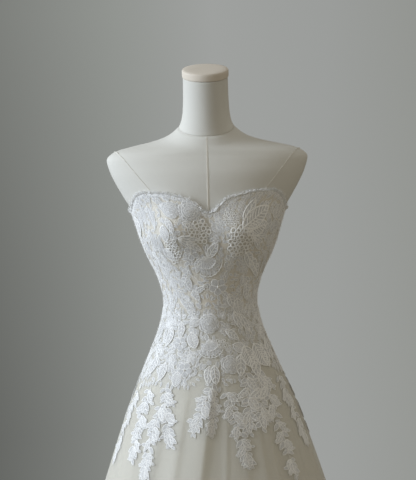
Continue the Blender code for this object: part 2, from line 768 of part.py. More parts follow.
def largest_piece(triangles):
    """The biggest group of triangles that hang together by their edges."""
    by_edge = {}
    for k, tri in enumerate(triangles):
        for a, b in zip(tri, tri[1:] + tri[:1]):
            by_edge.setdefault(frozenset((a, b)), []).append(k)
    seen = set()
    best = []
    for start in range(len(triangles)):
        if start in seen:
            continue
        seen.add(start)
        group = [start]
        for k in group:
            tri = triangles[k]
            for a, b in zip(tri, tri[1:] + tri[:1]):
                for other in by_edge[frozenset((a, b))]:
                    if other not in seen:
                        seen.add(other)
                        group.append(other)
        if len(group) > len(best):
            best = group
    return [triangles[k] for k in best]


def open_pinches(triangles):
    """Drops triangles until no outline touches itself at a point."""
    while True:
        rim = {}
        for tri in triangles:
            for a, b in zip(tri, tri[1:] + tri[:1]):
                rim[(a, b)] = True
        outs = {}
        for a, b in rim:
            if (b, a) not in rim:
                outs[a] = outs.get(a, 0) + 1
        pinched = {a for a, n in outs.items() if n > 1}
        if not pinched:
            return triangles
        fans = {p: sum(p in tri for tri in triangles) for p in pinched}
        worst = min(fans, key=fans.get)
        triangles = largest_piece([tri for tri in triangles if worst not in tri])


def make_lace(name, field_at, angles, heights, surface, radius, spacing, gap):
    """Lace wall whose outline and gaps are where field_at is positive.

    It is laid out flat at the given radius, and surface(angle, z, out) then places a
    point out metres off the cloth below. Its points are at most spacing apart.
    """
    to_angle = math.degrees(1.0 / radius)
    span = (angles[0] / to_angle - LACE_STEP * 2, angles[1] / to_angle + LACE_STEP * 2)
    xs = np.arange(span[0], span[1], LACE_STEP)
    ys = np.arange(heights[0] - LACE_STEP * 2, heights[1] + LACE_STEP * 2, LACE_STEP)
    grid_x, grid_y = np.meshgrid(xs, ys, indexing="ij")
    field = field_at(grid_x * to_angle, grid_y)
    loops = [loop for loop in contour_loops(field, xs, ys) if abs(loop_area(loop)) > LACE_MIN_GAP_AREA]
    loops = [simplify_loop(loop, LACE_SIMPLIFY) for loop in loops]
    loops = [split_long_edges(loop, spacing) for loop in loops if len(loop) > 3]

    points = []
    edges = []
    for loop in loops:
        base = len(points)
        points += [tuple(p) for p in loop]
        edges += [(base + k, base + (k + 1) % len(loop)) for k in range(len(loop))]
    inner = []
    for row, y in enumerate(np.arange(ys[0], ys[-1], spacing * 0.87)):
        for x in np.arange(xs[0] + (row % 2) * spacing / 2, xs[-1], spacing):
            inner.append((x, y))
    inner = np.array(inner)
    depth = field_at(inner[:, 0] * to_angle, inner[:, 1])
    points += [tuple(p) for p in inner[depth > spacing * 0.32]]

    verts, _, faces, _, _, _ = delaunay_2d_cdt([Vector(p) for p in points], edges, [], 0, 1e-6)
    flat = np.array([tuple(v) for v in verts])
    centres = np.array([flat[list(f)].mean(axis=0) for f in faces])
    keep = inside_loops(centres, loops)
    triangles = [tuple(f) for f, k in zip(faces, keep) if k]
    triangles = open_pinches(largest_piece(triangles))
    used = sorted({v for tri in triangles for v in tri})
    number = {v: k for k, v in enumerate(used)}
    triangles = [tuple(number[v] for v in tri) for tri in triangles]
    flat = flat[used]
    angle = flat[:, 0] * to_angle
    low = list(zip(*surface(angle, flat[:, 1], gap)))
    high = list(zip(*surface(angle, flat[:, 1], gap + LACE_WALL)))
    count = len(used)
    faces = [tuple(tri) for tri in triangles]
    faces += [tuple(count + v for v in reversed(tri)) for tri in triangles]
    sides = {(a, b) for tri in triangles for a, b in zip(tri, tri[1:] + tri[:1])}
    for a, b in sorted(sides):
        if (b, a) not in sides:
            faces.append((b, a, count + a, count + b))
    add_object(name, high + low, faces, bpy.data.materials["corded lace"])


def border_field(angle, z, left, right, radius_at):
    """Distance inside the two side seams of a lace panel."""
    radius = radius_at(z)
    return np.minimum(np.radians(angle - left), np.radians(right - angle)) * radius - SEAM_GAP / 2


def cut_gaps(field, angle, z, gaps, radius_at):
    for centre, height, turn, length, width in gaps:
        radius = float(radius_at(height))
        heading = math.radians(turn)
        root = centre - math.degrees(length / 2 * math.sin(heading) / radius)
        start = height + length / 2 * math.cos(heading)
        field = np.minimum(field, -leaf_field(angle, z, root, start, turn, length, width, radius))
    return field


def mirrored_gaps(gaps):
    return tuple((-centre, height, -turn, length, width) for centre, height, turn, length, width in gaps)


def mirrored_sprays(rows):
    return tuple((-row[0], row[1], -row[2], -row[3], *row[4:]) for row in rows)


def make_bodice_lace(name, left, right, gaps, spacing):
    def field_at(angle, z):
        field = border_field(angle, z, left, right, form_half)
        field = np.minimum(field, neckline(np.abs(angle)) - LACE_BELOW_NECKLINE - z)
        field = np.minimum(field, z - WAIST_Z - LACE_OFF_WAIST)
        return cut_gaps(field, angle, z, gaps, form_half)

    sizes = (LACE_RADIUS_BODICE, spacing, LACE_GAP_BODICE)
    make_lace(name, field_at, (left, right), (WAIST_Z, LACE_TOP_Z), bodice_point, *sizes)


def make_skirt_lace(name, left, right, yoke, sprays, gaps):
    """left and right are the angles of the panel's edges and yoke is its lower edge."""

    def field_at(angle, z):
        field = np.minimum(z - yoke(angle), WAIST_Z - LACE_OFF_WAIST - z)
        field = cut_gaps(field, angle, z, gaps, skirt_half)
        for row in sprays:
            field = np.maximum(field, spray_field(angle, z, row, skirt_half))
        return np.minimum(field, border_field(angle, z, left, right, skirt_half))

    sizes = (LACE_RADIUS_SKIRT, LACE_SPACING_SKIRT, LACE_GAP_SKIRT)
    make_lace(name, field_at, (left, right), (LACE_LOWEST_Z, WAIST_Z), skirt_point, *sizes)


def make_all_lace():
    back_edge = 180.0 - math.degrees(LACE_BACK_EDGE / float(skirt_back(WAIST_Z)))
    gaps = GAPS_BODICE_BACK
    make_bodice_lace("bodice_lace_front", -90.0, 90.0, GAPS_BODICE_FRONT, LACE_SPACING_CUPS)
    make_bodice_lace("bodice_lace_back_left", 90.0, back_edge, gaps, LACE_SPACING_BACK)
    make_bodice_lace("bodice_lace_back_right", -back_edge, -90.0, mirrored_gaps(gaps), LACE_SPACING_BACK)
    make_skirt_lace("skirt_lace_front", -90.0, 90.0, yoke_front, SPRAYS_FRONT, GAPS_SKIRT_FRONT)
    make_skirt_lace("skirt_lace_back_left", 90.0, back_edge, yoke_back, SPRAYS_BACK, GAPS_SKIRT_BACK)
    make_skirt_lace(
        "skirt_lace_back_right",
        -back_edge,
        -90.0,
        lambda angle: yoke_back(-angle),
        mirrored_sprays(SPRAYS_BACK),
        mirrored_gaps(GAPS_SKIRT_BACK),
    )


def zip_face(z, out):
    """Y of the centre back cloth's outer face, plus out."""
    on_bodice = float(bodice_point(180.0, z, out)[1])
    on_skirt = float(skirt_point(180.0, z, out - TULLE_WALL - TULLE_GAP, 0.0)[1])
    return on_bodice if z >= WAIST_Z else on_skirt


def make_zip():
    nylon = bpy.data.materials["zip nylon"]
    top = float(neckline(180.0)) - ZIP_END_GAP / 2
    outer = []
    inner = []
    for z in np.linspace(ZIP_BOTTOM_Z + ZIP_END_GAP, top, 16):
        outer.append([(side * ZIP_HALF_WIDTH, zip_face(z, -ZIP_SUNK), z) for side in (1, -1)])
        inner.append([(side * ZIP_HALF_WIDTH, zip_face(z, -ZIP_SUNK - ZIP_WALL), z) for side in (1, -1)])
    grid_shell("zip_chain", outer, inner, nylon)

    metal = bpy.data.materials["zip metal"]
    face = max(zip_face(SLIDER_Z + dz, 0.0) for dz in (-SLIDER_HALF_HEIGHT, 0.0, SLIDER_HALF_HEIGHT))
    back = face + SLIDER_GAP
    front = back + SLIDER_DEPTH
    pin_y = front + PIN_STANDOFF - SLIDER_DEPTH
    slider = box(
        "zip_slider",
        (0.0, (back + front) / 2, SLIDER_Z),
        (SLIDER_HALF_WIDTH, SLIDER_DEPTH / 2, SLIDER_HALF_HEIGHT),
        metal,
    )
    for side in (-1, 1):
        middle = side * (EAR_INNER + EAR_OUTER) / 2
        ear = box(
            "ear_guide_" + str(side),
            (middle, (front + pin_y) / 2, SLIDER_Z),
            ((EAR_OUTER - EAR_INNER) / 2, (pin_y - front) / 2 + EAR_RADIUS * 0.7, EAR_RADIUS),
            metal,
        )
        boolean(slider, ear, "UNION")
    pin_half = (EAR_INNER + EAR_OUTER) / 2
    pin = cross_bar("pin_guide", pin_y, SLIDER_Z, PIN_RADIUS, pin_half, 12, metal)
    boolean(slider, pin, "UNION")

    tab = make_tab_plate(pin_y, metal)
    barrel = cross_bar("barrel_guide", pin_y, SLIDER_Z, TAB_BARREL, TAB_HALF_WIDTH, 16, metal)
    boolean(tab, barrel, "UNION")
    bore = cross_bar("bore_guide", pin_y, SLIDER_Z, TAB_BORE, TAB_HALF_WIDTH * 2, 16, metal)
    boolean(tab, bore, "DIFFERENCE")


def box(name, centre, half, material):
    cx, cy, cz = centre
    hx, hy, hz = half
    lower = [(cx + sx * hx, cy + sy * hy, cz - hz) for sx, sy in ((-1, -1), (1, -1), (1, 1), (-1, 1))]
    upper = [(x, y, cz + hz) for x, y, _ in lower]
    return loft(name, [lower, upper], material)


def cross_bar(name, y, z, radius, half_length, columns, material):
    """Round bar along X."""
    rings = []
    for x in (-half_length, half_length):
        ring = []
        for c in range(columns):
            turn = 2 * math.pi * (c + 0.5) / columns
            ring.append((x, y + radius * math.cos(turn), z + radius * math.sin(turn)))
        rings.append(ring)
    return loft(name, rings, material)


def make_tab_plate(pin_y, material):
    """Drop-shaped plate that hangs from the pin, narrow at its barrel and round at its end."""
    centre_z = SLIDER_Z - TAB_LENGTH + TAB_DROP_HALF_WIDTH
    outline = [(-TAB_HALF_WIDTH, SLIDER_Z - TAB_BORE * 1.2), (-TAB_HALF_WIDTH, SLIDER_Z - TAB_NECK)]
    for k in range(9):
        turn = math.pi + math.pi * k / 8
        low = centre_z + TAB_DROP_HALF_WIDTH * math.sin(turn)
        outline.append((TAB_DROP_HALF_WIDTH * math.cos(turn), low))
    outline += [(TAB_HALF_WIDTH, SLIDER_Z - TAB_NECK), (TAB_HALF_WIDTH, SLIDER_Z - TAB_BORE * 1.2)]
    near = [(x, pin_y - TAB_THICKNESS / 2, z) for x, z in outline]
    far = [(x, pin_y + TAB_THICKNESS / 2, z) for x, z in outline]
    count = len(outline)
    faces = [tuple(range(count)), tuple(reversed(range(count, 2 * count)))]
    for k in range(count):
        n = (k + 1) % count
        faces.append((n, k, count + k, count + n))
    return add_object("zip_pull_tab", near + far, faces, material, smooth=False)


def main():
    clear_scene()
    make_material("form jersey", (0.80, 0.79, 0.74), 0.85)
    make_material("cap cloth", (0.72, 0.67, 0.58), 0.80)
    make_material("bodice satin", (0.88, 0.86, 0.81), 0.45)
    make_material("skirt satin", (0.86, 0.84, 0.78), 0.45)
    make_material("soft tulle", (0.88, 0.87, 0.83), 0.75)
    make_material("corded lace", (0.93, 0.93, 0.91), 0.70)
    make_material("zip nylon", (0.86, 0.84, 0.79), 0.50)
    make_material("zip metal", (0.83, 0.81, 0.76), 0.30, 1.0)
    make_material("stand steel", (0.62, 0.61, 0.59), 0.35, 1.0)
    make_form()
    make_stand()
    make_bodice()
    make_skirts()
    make_all_lace()
    make_zip()


main()
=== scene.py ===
# Strapless lace wedding dress on a limbless dress form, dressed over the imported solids.
# Metres, +Z up, the front faces -Y. Angles on the garment are degrees from the centre front,
# positive towards +X, which is the wearer's left.
import math

import bpy
import numpy as np
from mathutils import Matrix, Vector


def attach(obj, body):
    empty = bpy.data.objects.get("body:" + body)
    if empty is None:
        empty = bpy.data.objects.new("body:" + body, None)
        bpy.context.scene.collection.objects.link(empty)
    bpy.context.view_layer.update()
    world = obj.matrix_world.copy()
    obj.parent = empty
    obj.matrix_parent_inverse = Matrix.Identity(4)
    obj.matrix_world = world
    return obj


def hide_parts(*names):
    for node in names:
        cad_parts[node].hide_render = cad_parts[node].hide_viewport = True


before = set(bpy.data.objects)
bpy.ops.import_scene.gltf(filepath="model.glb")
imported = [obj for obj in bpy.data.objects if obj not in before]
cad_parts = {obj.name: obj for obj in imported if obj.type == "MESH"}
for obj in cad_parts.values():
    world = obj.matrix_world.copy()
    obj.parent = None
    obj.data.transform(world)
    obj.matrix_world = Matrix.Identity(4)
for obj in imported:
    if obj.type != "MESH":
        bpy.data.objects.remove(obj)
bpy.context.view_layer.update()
mainBody = "gown_and_form"

# Heights and walls of the solids
waistZ = 1.0600
skirtTopZ = 1.0596
satinHemZ = 0.0120
tulleHemZ = 0.0150
formBottomZ = 0.7850
bodiceGap = 0.0014
bodiceWall = 0.0018
satinWall = 0.0015
tulleWall = 0.0011
tulleGap = 0.0006
laceGap = {"bodice": 0.0005, "skirt": 0.0006}
cup = {"x": 0.078, "z": 1.235, "reach": 0.050, "formRise": 0.019, "dressRise": 0.022}

# Form: height, half width, front depth, back depth, slope of the ring
formSections = (
    (0.7850, 0.1560, 0.1050, 0.1230, 0.00),
    (0.8100, 0.1585, 0.1080, 0.1265, 0.00),
    (0.8600, 0.1550, 0.1095, 0.1270, 0.00),
    (0.9100, 0.1440, 0.1080, 0.1210, 0.00),
    (0.9550, 0.1285, 0.1030, 0.1080, 0.00),
    (0.9950, 0.1115, 0.0940, 0.0915, 0.00),
    (1.0300, 0.1003, 0.0855, 0.0790, 0.00),
    (1.0600, 0.0950, 0.0810, 0.0730, 0.00),
    (1.0840, 0.0953, 0.0820, 0.0740, 0.00),
    (1.1090, 0.1005, 0.0840, 0.0770, 0.00),
    (1.1370, 0.1101, 0.0880, 0.0810, 0.00),
    (1.1710, 0.1262, 0.0940, 0.0860, 0.00),
    (1.2050, 0.1391, 0.1000, 0.0900, 0.00),
    (1.2370, 0.1486, 0.1040, 0.0920, 0.00),
    (1.2660, 0.1586, 0.1040, 0.0940, 0.00),
    (1.2960, 0.1755, 0.1010, 0.0960, 0.00),
    (1.3230, 0.1905, 0.0975, 0.0950, 0.00),
    (1.3480, 0.2018, 0.0915, 0.0920, 0.00),
    (1.3730, 0.2080, 0.0790, 0.0850, 0.00),
    (1.3890, 0.1921, 0.0710, 0.0775, 0.03),
    (1.3960, 0.1665, 0.0690, 0.0735, 0.06),
    (1.4060, 0.1154, 0.0655, 0.0670, 0.12),
    (1.4150, 0.0862, 0.0625, 0.0615, 0.20),
    (1.4310, 0.0628, 0.0565, 0.0545, 0.28),
    (1.4370, 0.0570, 0.0530, 0.0520, 0.30),
)

# Neck: height, half width, half depth, centre's Y, slope of the ring
neckSections = (
    (1.4374, 0.0568, 0.0525, 0.0000, 0.300),
    (1.4510, 0.0514, 0.0500, -0.0030, 0.280),
    (1.4720, 0.0480, 0.0480, -0.0075, 0.250),
    (1.5050, 0.0463, 0.0465, -0.0145, 0.225),
    (1.5400, 0.0457, 0.0460, -0.0220, 0.2217),
)

# Outer face of the tulle between its folds: height, half width, front depth, back depth
skirtSections = (
    (0.0120, 0.4410, 0.3850, 0.4550),
    (0.5000, 0.2895, 0.2480, 0.2870),
    (0.6800, 0.2335, 0.1970, 0.2260),
    (0.7700, 0.2040, 0.1700, 0.1920),
    (0.8500, 0.1765, 0.1465, 0.1600),
    (0.9050, 0.1550, 0.1280, 0.1375),
    (0.9550, 0.1340, 0.1125, 0.1165),
    (0.9950, 0.1172, 0.1000, 0.0975),
    (1.0300, 0.1052, 0.0905, 0.0845),
    (1.0596, 0.0990, 0.0850, 0.0768),
)

# Soft folds of the tulle: centre angle, half width in degrees, rise at the hem, height it fades out at
tulleFolds = (
    (-166.0, 6.5, 0.020, 0.94),
    (-144.0, 7.0, 0.017, 0.90),
    (-122.0, 6.0, 0.021, 0.92),
    (-101.0, 6.5, 0.016, 0.88),
    (-77.0, 6.0, 0.015, 0.86),
    (-58.0, 5.5, 0.019, 0.90),
    (-40.0, 6.0, 0.014, 0.92),
    (-22.0, 6.5, 0.021, 0.94),
    (-3.0, 5.5, 0.018, 0.93),
    (14.0, 6.0, 0.015, 0.88),
    (29.0, 5.0, 0.021, 0.95),
    (47.0, 6.5, 0.014, 0.90),
    (67.0, 6.0, 0.019, 0.88),
    (86.0, 6.5, 0.015, 0.86),
    (106.0, 6.0, 0.020, 0.91),
    (127.0, 6.5, 0.016, 0.90),
    (147.0, 6.0, 0.019, 0.93),
    (168.0, 6.5, 0.018, 0.92),
)

# Creases of the tulle: crest angle, width of the rising flank, width of the falling one,
# rise, height it fades out at, how far its crest wanders towards the hem in degrees
tulleCreases = (
    (-171.0, 6.0, 2.0, 0.0050, 0.93, 6.0),
    (-152.0, 3.0, 2.6, 0.0026, 0.90, -4.0),
    (-137.0, 7.0, 1.8, 0.0056, 0.95, -8.0),
    (-118.0, 2.6, 2.8, 0.0026, 0.89, 5.0),
    (-104.0, 5.0, 2.2, 0.0042, 0.92, -3.0),
    (-88.0, 3.2, 2.4, 0.0028, 0.90, 4.0),
    (-66.0, 5.0, 2.6, 0.0026, 0.92, -6.0),
    (-49.0, 3.4, 3.0, 0.0018, 0.90, -5.0),
    (-33.0, 4.6, 2.8, 0.0020, 0.93, -8.0),
    (-17.5, 5.0, 2.4, 0.0024, 0.95, -9.0),
    (3.5, 11.0, 3.0, 0.0092, 0.98, -20.0),
    (12.0, 2.4, 1.6, 0.0016, 0.93, -12.0),
    (21.0, 2.4, 2.0, 0.0010, 0.90, -6.0),
    (31.0, 2.6, 1.6, 0.0012, 0.93, -3.0),
    (36.0, 4.5, 1.4, 0.0046, 0.95, 2.0),
    (47.0, 3.0, 2.4, 0.0016, 0.90, 4.0),
    (59.0, 5.0, 2.0, 0.0030, 0.92, -3.0),
    (75.0, 3.0, 2.4, 0.0026, 0.90, 5.0),
    (94.0, 6.0, 1.8, 0.0046, 0.94, 7.0),
    (113.0, 3.0, 2.6, 0.0026, 0.90, -4.0),
    (132.0, 7.0, 1.8, 0.0056, 0.95, -7.0),
    (151.0, 3.4, 2.2, 0.0028, 0.91, 5.0),
    (171.0, 5.0, 2.0, 0.0042, 0.93, -5.0),
)

# Sweetheart edge: angle from the centre front, height
neckline = (
    (0.0, 1.2715),
    (4.0, 1.2760),
    (11.0, 1.2975),
    (20.0, 1.3070),
    (30.0, 1.3120),
    (43.0, 1.3120),
    (50.0, 1.3060),
    (57.0, 1.2965),
    (64.0, 1.2845),
    (72.0, 1.2730),
    (81.0, 1.2655),
    (90.0, 1.2625),
    (130.0, 1.2635),
    (180.0, 1.2680),
)

# Princess seam: share of the panel's height, angle
princessSeam = ((0.0, 25.0), (0.40, 30.0), (0.72, 36.0), (1.0, 35.0))

# Lower edge of the skirt lace before its sprays: angle, height
yokeFrontRows = (
    (-90.0, 0.918), (-72.0, 0.902), (-56.0, 0.914), (-40.0, 0.918), (-23.0, 0.915),
    (-15.0, 0.924), (-9.9, 0.944), (-6.6, 0.960), (-2.5, 0.948), (2.0, 0.926),
    (6.5, 0.915), (13.0, 0.930), (22.0, 0.926), (30.0, 0.946), (38.0, 0.956),
    (50.0, 0.956), (62.0, 0.944), (75.0, 0.928), (90.0, 0.918),
)
yokeBackRows = (
    (90.0, 0.918), (104.0, 0.934), (116.0, 0.915), (130.0, 0.938), (142.0, 0.920),
    (156.0, 0.944), (168.0, 0.922), (180.0, 0.940),
)

# Sprays: root angle, root height, heading from straight down towards +angle, bend, length,
# count of leaves, length of a leaf
spraysFront = (
    (-72.0, 0.900, -14.0, 14.0, 0.165, 6, 0.032),
    (-56.0, 0.912, 0.0, 5.0, 0.150, 5, 0.034),
    (-40.0, 0.920, 17.0, 5.0, 0.120, 4, 0.032),
    (-38.0, 0.885, -12.0, 18.0, 0.155, 6, 0.032),
    (2.0, 0.932, -26.0, 8.0, 0.102, 4, 0.030),
    (1.0, 0.905, 6.0, -24.0, 0.072, 2, 0.024),
    (9.0, 0.918, 16.0, -8.0, 0.160, 6, 0.032),
    (30.0, 0.950, -4.0, -10.0, 0.116, 4, 0.036),
    (43.0, 0.952, -12.0, -4.0, 0.112, 3, 0.038),
    (45.0, 0.945, 2.0, 2.0, 0.222, 8, 0.036),
    (66.0, 0.930, 6.0, 4.0, 0.160, 6, 0.032),
)
spraysBack = (
    (100.0, 0.925, 4.0, -8.0, 0.150, 5, 0.034),
    (117.0, 0.925, -6.0, 12.0, 0.175, 6, 0.034),
    (135.0, 0.930, 8.0, -6.0, 0.130, 5, 0.034),
    (150.0, 0.935, -4.0, 8.0, 0.180, 6, 0.034),
    (167.0, 0.930, 2.0, 2.0, 0.140, 4, 0.032),
)
spray = {"steps": 12, "stemHalf": 0.0030, "leafRatio": 0.40, "leafSpread": 34.0, "shrink": 0.18}

# Gaps in the lace: angle, height, turn, length, width
gapsBodiceFront = (
    (-21.6, 1.2434, 80.0, 0.030, 0.020),
    (-22.5, 1.1897, 8.0, 0.030, 0.011),
    (11.1, 1.2073, 60.0, 0.028, 0.019),
    (-2.8, 1.0900, 82.0, 0.040, 0.022),
    (35.5, 1.2326, 20.0, 0.024, 0.012),
    (37.2, 1.1843, -15.0, 0.028, 0.011),
    (26.6, 1.1344, 40.0, 0.026, 0.012),
    (-13.5, 1.1612, 65.0, 0.026, 0.012),
    (30.4, 1.1039, 20.0, 0.028, 0.013),
    (-5.1, 1.1291, 30.0, 0.022, 0.011),
    (-45.0, 1.1500, 12.0, 0.030, 0.010),
    (-62.0, 1.2050, 5.0, 0.034, 0.010),
    (60.0, 1.1950, -12.0, 0.034, 0.012),
    (58.0, 1.1250, 14.0, 0.026, 0.011),
    (-72.0, 1.1100, -10.0, 0.028, 0.010),
    (77.0, 1.2180, 10.0, 0.028, 0.011),
)
gapsBodiceBack = (
    (112.0, 1.1500, -20.0, 0.030, 0.013),
    (126.0, 1.2050, 30.0, 0.032, 0.014),
    (138.0, 1.1150, 10.0, 0.028, 0.012),
    (150.0, 1.2350, -25.0, 0.032, 0.014),
    (158.0, 1.1700, 18.0, 0.030, 0.013),
)
gapsSkirtFront = (
    (24.5, 1.0360, 20.0, 0.026, 0.013),
    (36.0, 0.9900, 12.0, 0.026, 0.011),
    (-14.0, 1.0200, 70.0, 0.024, 0.011),
    (-30.0, 0.9750, 20.0, 0.026, 0.011),
    (12.0, 0.9700, 50.0, 0.024, 0.011),
    (-52.0, 0.9550, -8.0, 0.030, 0.011),
    (58.0, 0.9850, 14.0, 0.028, 0.011),
    (-68.0, 1.0050, 8.0, 0.028, 0.011),
    (76.0, 0.9800, -8.0, 0.028, 0.011),
)
gapsSkirtBack = (
    (104.0, 0.9850, 8.0, 0.030, 0.012),
    (122.0, 0.9750, -12.0, 0.030, 0.012),
    (118.0, 1.0250, 20.0, 0.024, 0.011),
    (140.0, 0.9900, 15.0, 0.030, 0.012),
    (158.0, 0.9800, -8.0, 0.028, 0.012),
    (152.0, 1.0300, 10.0, 0.022, 0.010),
)


# Curves and surfaces, the same as the solids'

def smoothCurve(rows, column):
    xs = np.array([row[0] for row in rows], dtype=float)
    ys = np.array([row[column] for row in rows], dtype=float)
    steps = np.diff(xs)
    slopes = np.diff(ys) / steps
    tangents = np.zeros(len(xs))
    for k in range(1, len(xs) - 1):
        if slopes[k - 1] * slopes[k] > 0:
            tangents[k] = 2 * slopes[k - 1] * slopes[k] / (slopes[k - 1] + slopes[k])
    tangents[0] = slopes[0]
    tangents[-1] = slopes[-1]

    def value(x):
        x = np.clip(np.asarray(x, dtype=float), xs[0], xs[-1])
        k = np.clip(np.searchsorted(xs, x, side="right") - 1, 0, len(steps) - 1)
        t = (x - xs[k]) / steps[k]
        ends = (2 * t**3 - 3 * t**2 + 1) * ys[k] + (3 * t**2 - 2 * t**3) * ys[k + 1]
        bends = (t**3 - 2 * t**2 + t) * tangents[k] + (t**3 - t**2) * tangents[k + 1]
        return ends + steps[k] * bends

    return value


formHalf, formFront, formBack, formSlope = (smoothCurve(formSections, c) for c in (1, 2, 3, 4))
skirtHalf, skirtFront, skirtBack = (smoothCurve(skirtSections, c) for c in (1, 2, 3))
neckHalf, neckDepth, neckCentre, neckSlope = (smoothCurve(neckSections, c) for c in (1, 2, 3, 4))
necklineAt = smoothCurve(neckline, 1)
princessAt = smoothCurve(princessSeam, 1)
yokeFront = smoothCurve(yokeFrontRows, 1)
yokeBack = smoothCurve(yokeBackRows, 1)


def wrapAngle(angle):
    return (np.asarray(angle) + 180.0) % 360.0 - 180.0


def ringPoint(angle, half, front, back):
    turn = np.radians(angle)
    depth = np.where(np.cos(turn) > 0, front, back)
    return half * np.sin(turn), -depth * np.cos(turn)


def bodyPoint(angle, z, out, rise):
    x, y = ringPoint(angle, formHalf(z) + out, formFront(z) + out, formBack(z) + out)
    away = ((np.abs(x) - cup["x"]) / cup["reach"]) ** 2 + ((z - cup["z"]) / cup["reach"]) ** 2
    return x, y - np.where(y < 0, rise * np.exp(-away), 0.0), z


def formPoint(angle, z, out=0.0):
    x, y, z = bodyPoint(angle, z, out, cup["formRise"])
    return x, y, z + formSlope(z) * y


def bodicePoint(angle, z, out):
    return bodyPoint(angle, z, bodiceGap + bodiceWall + out, cup["dressRise"])


def foldRise(angle, z):
    total = np.zeros(np.broadcast(angle, z).shape)
    for centre, width, rise, top in tulleFolds:
        fade = np.clip((top - np.asarray(z)) / (top - tulleHemZ), 0.0, 1.0)
        total = total + rise * fade**1.25 * np.exp(-((wrapAngle(angle - centre) / width) ** 2))
    return total


def creaseRise(angle, z):
    total = np.zeros(np.broadcast(angle, z).shape)
    for crest, rising, falling, rise, top, wander in tulleCreases:
        down = np.clip(top - np.asarray(z), 0.0, 1.0)
        away = wrapAngle(angle - crest - wander * (1 - np.exp(-down / 0.3)))
        width = np.where(away < 0, rising, falling)
        fade = np.clip((top - np.asarray(z)) / 0.12, 0.0, 1.0)
        fade = fade * fade * (3 - 2 * fade)
        total = total + rise * fade * np.exp(-((away / width) ** 2))
    return total * (skirtHalf(z) / 0.205) ** 0.8


def skirtPoint(angle, z, out, folds=1.0, creases=0.0):
    out = out + folds * foldRise(angle, z) + creases * creaseRise(angle, z)
    x, y = ringPoint(angle, skirtHalf(z) + out, skirtFront(z) + out, skirtBack(z) + out)
    return x, y, z


def gownPoint(angle, z, out):
    high = np.array(bodicePoint(angle, np.maximum(z, waistZ), out + laceGap["bodice"]))
    low = np.array(skirtPoint(angle, np.minimum(z, skirtTopZ), out + laceGap["skirt"], 1.0, 1.0))
    low[2] = np.minimum(z, waistZ)
    return np.where(z >= waistZ, high, low)


def leafField(angle, z, rootAngle, rootZ, heading, length, width, radius):
    across = np.radians(angle - rootAngle) * radius
    down = z - rootZ
    turn = math.radians(heading)
    along = across * math.sin(turn) - down * math.cos(turn)
    aside = across * math.cos(turn) + down * math.sin(turn)
    share = np.clip(along / length, 0.0, 1.0)
    half = width / 2 * np.sin(np.pi * share**0.85) ** 0.8
    beyond = np.maximum(np.maximum(-along, along - length), 0.0)
    return half - np.hypot(aside, beyond)


def sprayPath(row):
    angle, z, heading, bend, length = row[:5]
    path = [(angle, z, heading)]
    step = length / spray["steps"]
    for k in range(spray["steps"]):
        turn = math.radians(heading + bend * (k + 0.5) / spray["steps"])
        angle += math.degrees(step * math.sin(turn) / float(skirtHalf(z)))
        z -= step * math.cos(turn)
        path.append((angle, z, heading + bend * (k + 1) / spray["steps"]))
    return path


def sprayLeaves(row):
    path = sprayPath(row)
    count, leaf = row[5], row[6]
    leaves = []
    for k in range(count):
        at = path[int(round((k + 0.6) / count * (len(path) - 3)))]
        side = 1 if k % 2 == 0 else -1
        leaves.append((at[0], at[1], at[2] + side * spray["leafSpread"], leaf * (1 - spray["shrink"] * k / count)))
    tip = path[-3]
    leaves.append((tip[0], tip[1], tip[2], leaf))
    return leaves


def sprayField(angle, z, row):
    path = sprayPath(row)
    best = np.full(np.shape(angle), -1.0)
    for (a0, z0, _), (a1, z1, _) in zip(path[:-1], path[1:]):
        radius = float(skirtHalf(z0))
        ux = np.radians(angle - a0) * radius
        uz = z - z0
        vx = math.radians(a1 - a0) * radius
        vz = z1 - z0
        share = np.clip((ux * vx + uz * vz) / (vx * vx + vz * vz), 0.0, 1.0)
        best = np.maximum(best, spray["stemHalf"] - np.hypot(ux - share * vx, uz - share * vz))
    for a, h, heading, size in sprayLeaves(row):
        radius = float(skirtHalf(h))
        best = np.maximum(best, leafField(angle, z, a, h, heading, size, size * spray["leafRatio"], radius))
    return best


def cutGaps(field, angle, z, gaps, radiusAt):
    for centre, height, turn, length, width in gaps:
        radius = float(radiusAt(height))
        heading = math.radians(turn)
        root = centre - math.degrees(length / 2 * math.sin(heading) / radius)
        start = height + length / 2 * math.cos(heading)
        field = np.minimum(field, -leafField(angle, z, root, start, turn, length, width, radius))
    return field


def bodiceLaceField(angle, z):
    side = np.abs(angle)
    field = np.minimum(necklineAt(side) - 0.0015 - z, z - waistZ + 0.004)
    field = cutGaps(field, angle, z, gapsBodiceFront, formHalf)
    return cutGaps(field, side, z, gapsBodiceBack, formHalf)


def skirtLaceField(angle, z):
    side = np.abs(angle)
    yoke = np.where(side <= 90.0, yokeFront(angle), yokeBack(side))
    field = np.minimum(z - yoke, waistZ + 0.004 - z)
    field = cutGaps(field, angle, z, gapsSkirtFront, skirtHalf)
    field = cutGaps(field, side, z, gapsSkirtBack, skirtHalf)
    for row in spraysFront:
        field = np.maximum(field, sprayField(angle, z, row))
    for row in spraysBack:
        field = np.maximum(field, sprayField(side, z, row))
    return field


# Materials

def linear(hexColour):
    parts = [int(hexColour[k : k + 2], 16) / 255 for k in (1, 3, 5)]
    return tuple(c / 12.92 if c <= 0.04045 else ((c + 0.055) / 1.055) ** 2.4 for c in parts) + (1.0,)


def addNode(tree, kind, links=None, **settings):
    made = tree.nodes.new(kind)
    for key, value in settings.items():
        setattr(made, key, value)
    for key, value in (links or {}).items():
        if isinstance(value, bpy.types.NodeSocket):
            tree.links.new(value, made.inputs[key])
        else:
            made.inputs[key].default_value = value
    return made


def startMaterial(name):
    material = bpy.data.materials.new(name)
    material.use_nodes = True
    tree = material.node_tree
    tree.nodes.clear()
    return material, tree


def endMaterial(tree, shader):
    addNode(tree, "ShaderNodeOutputMaterial", {"Surface": shader})


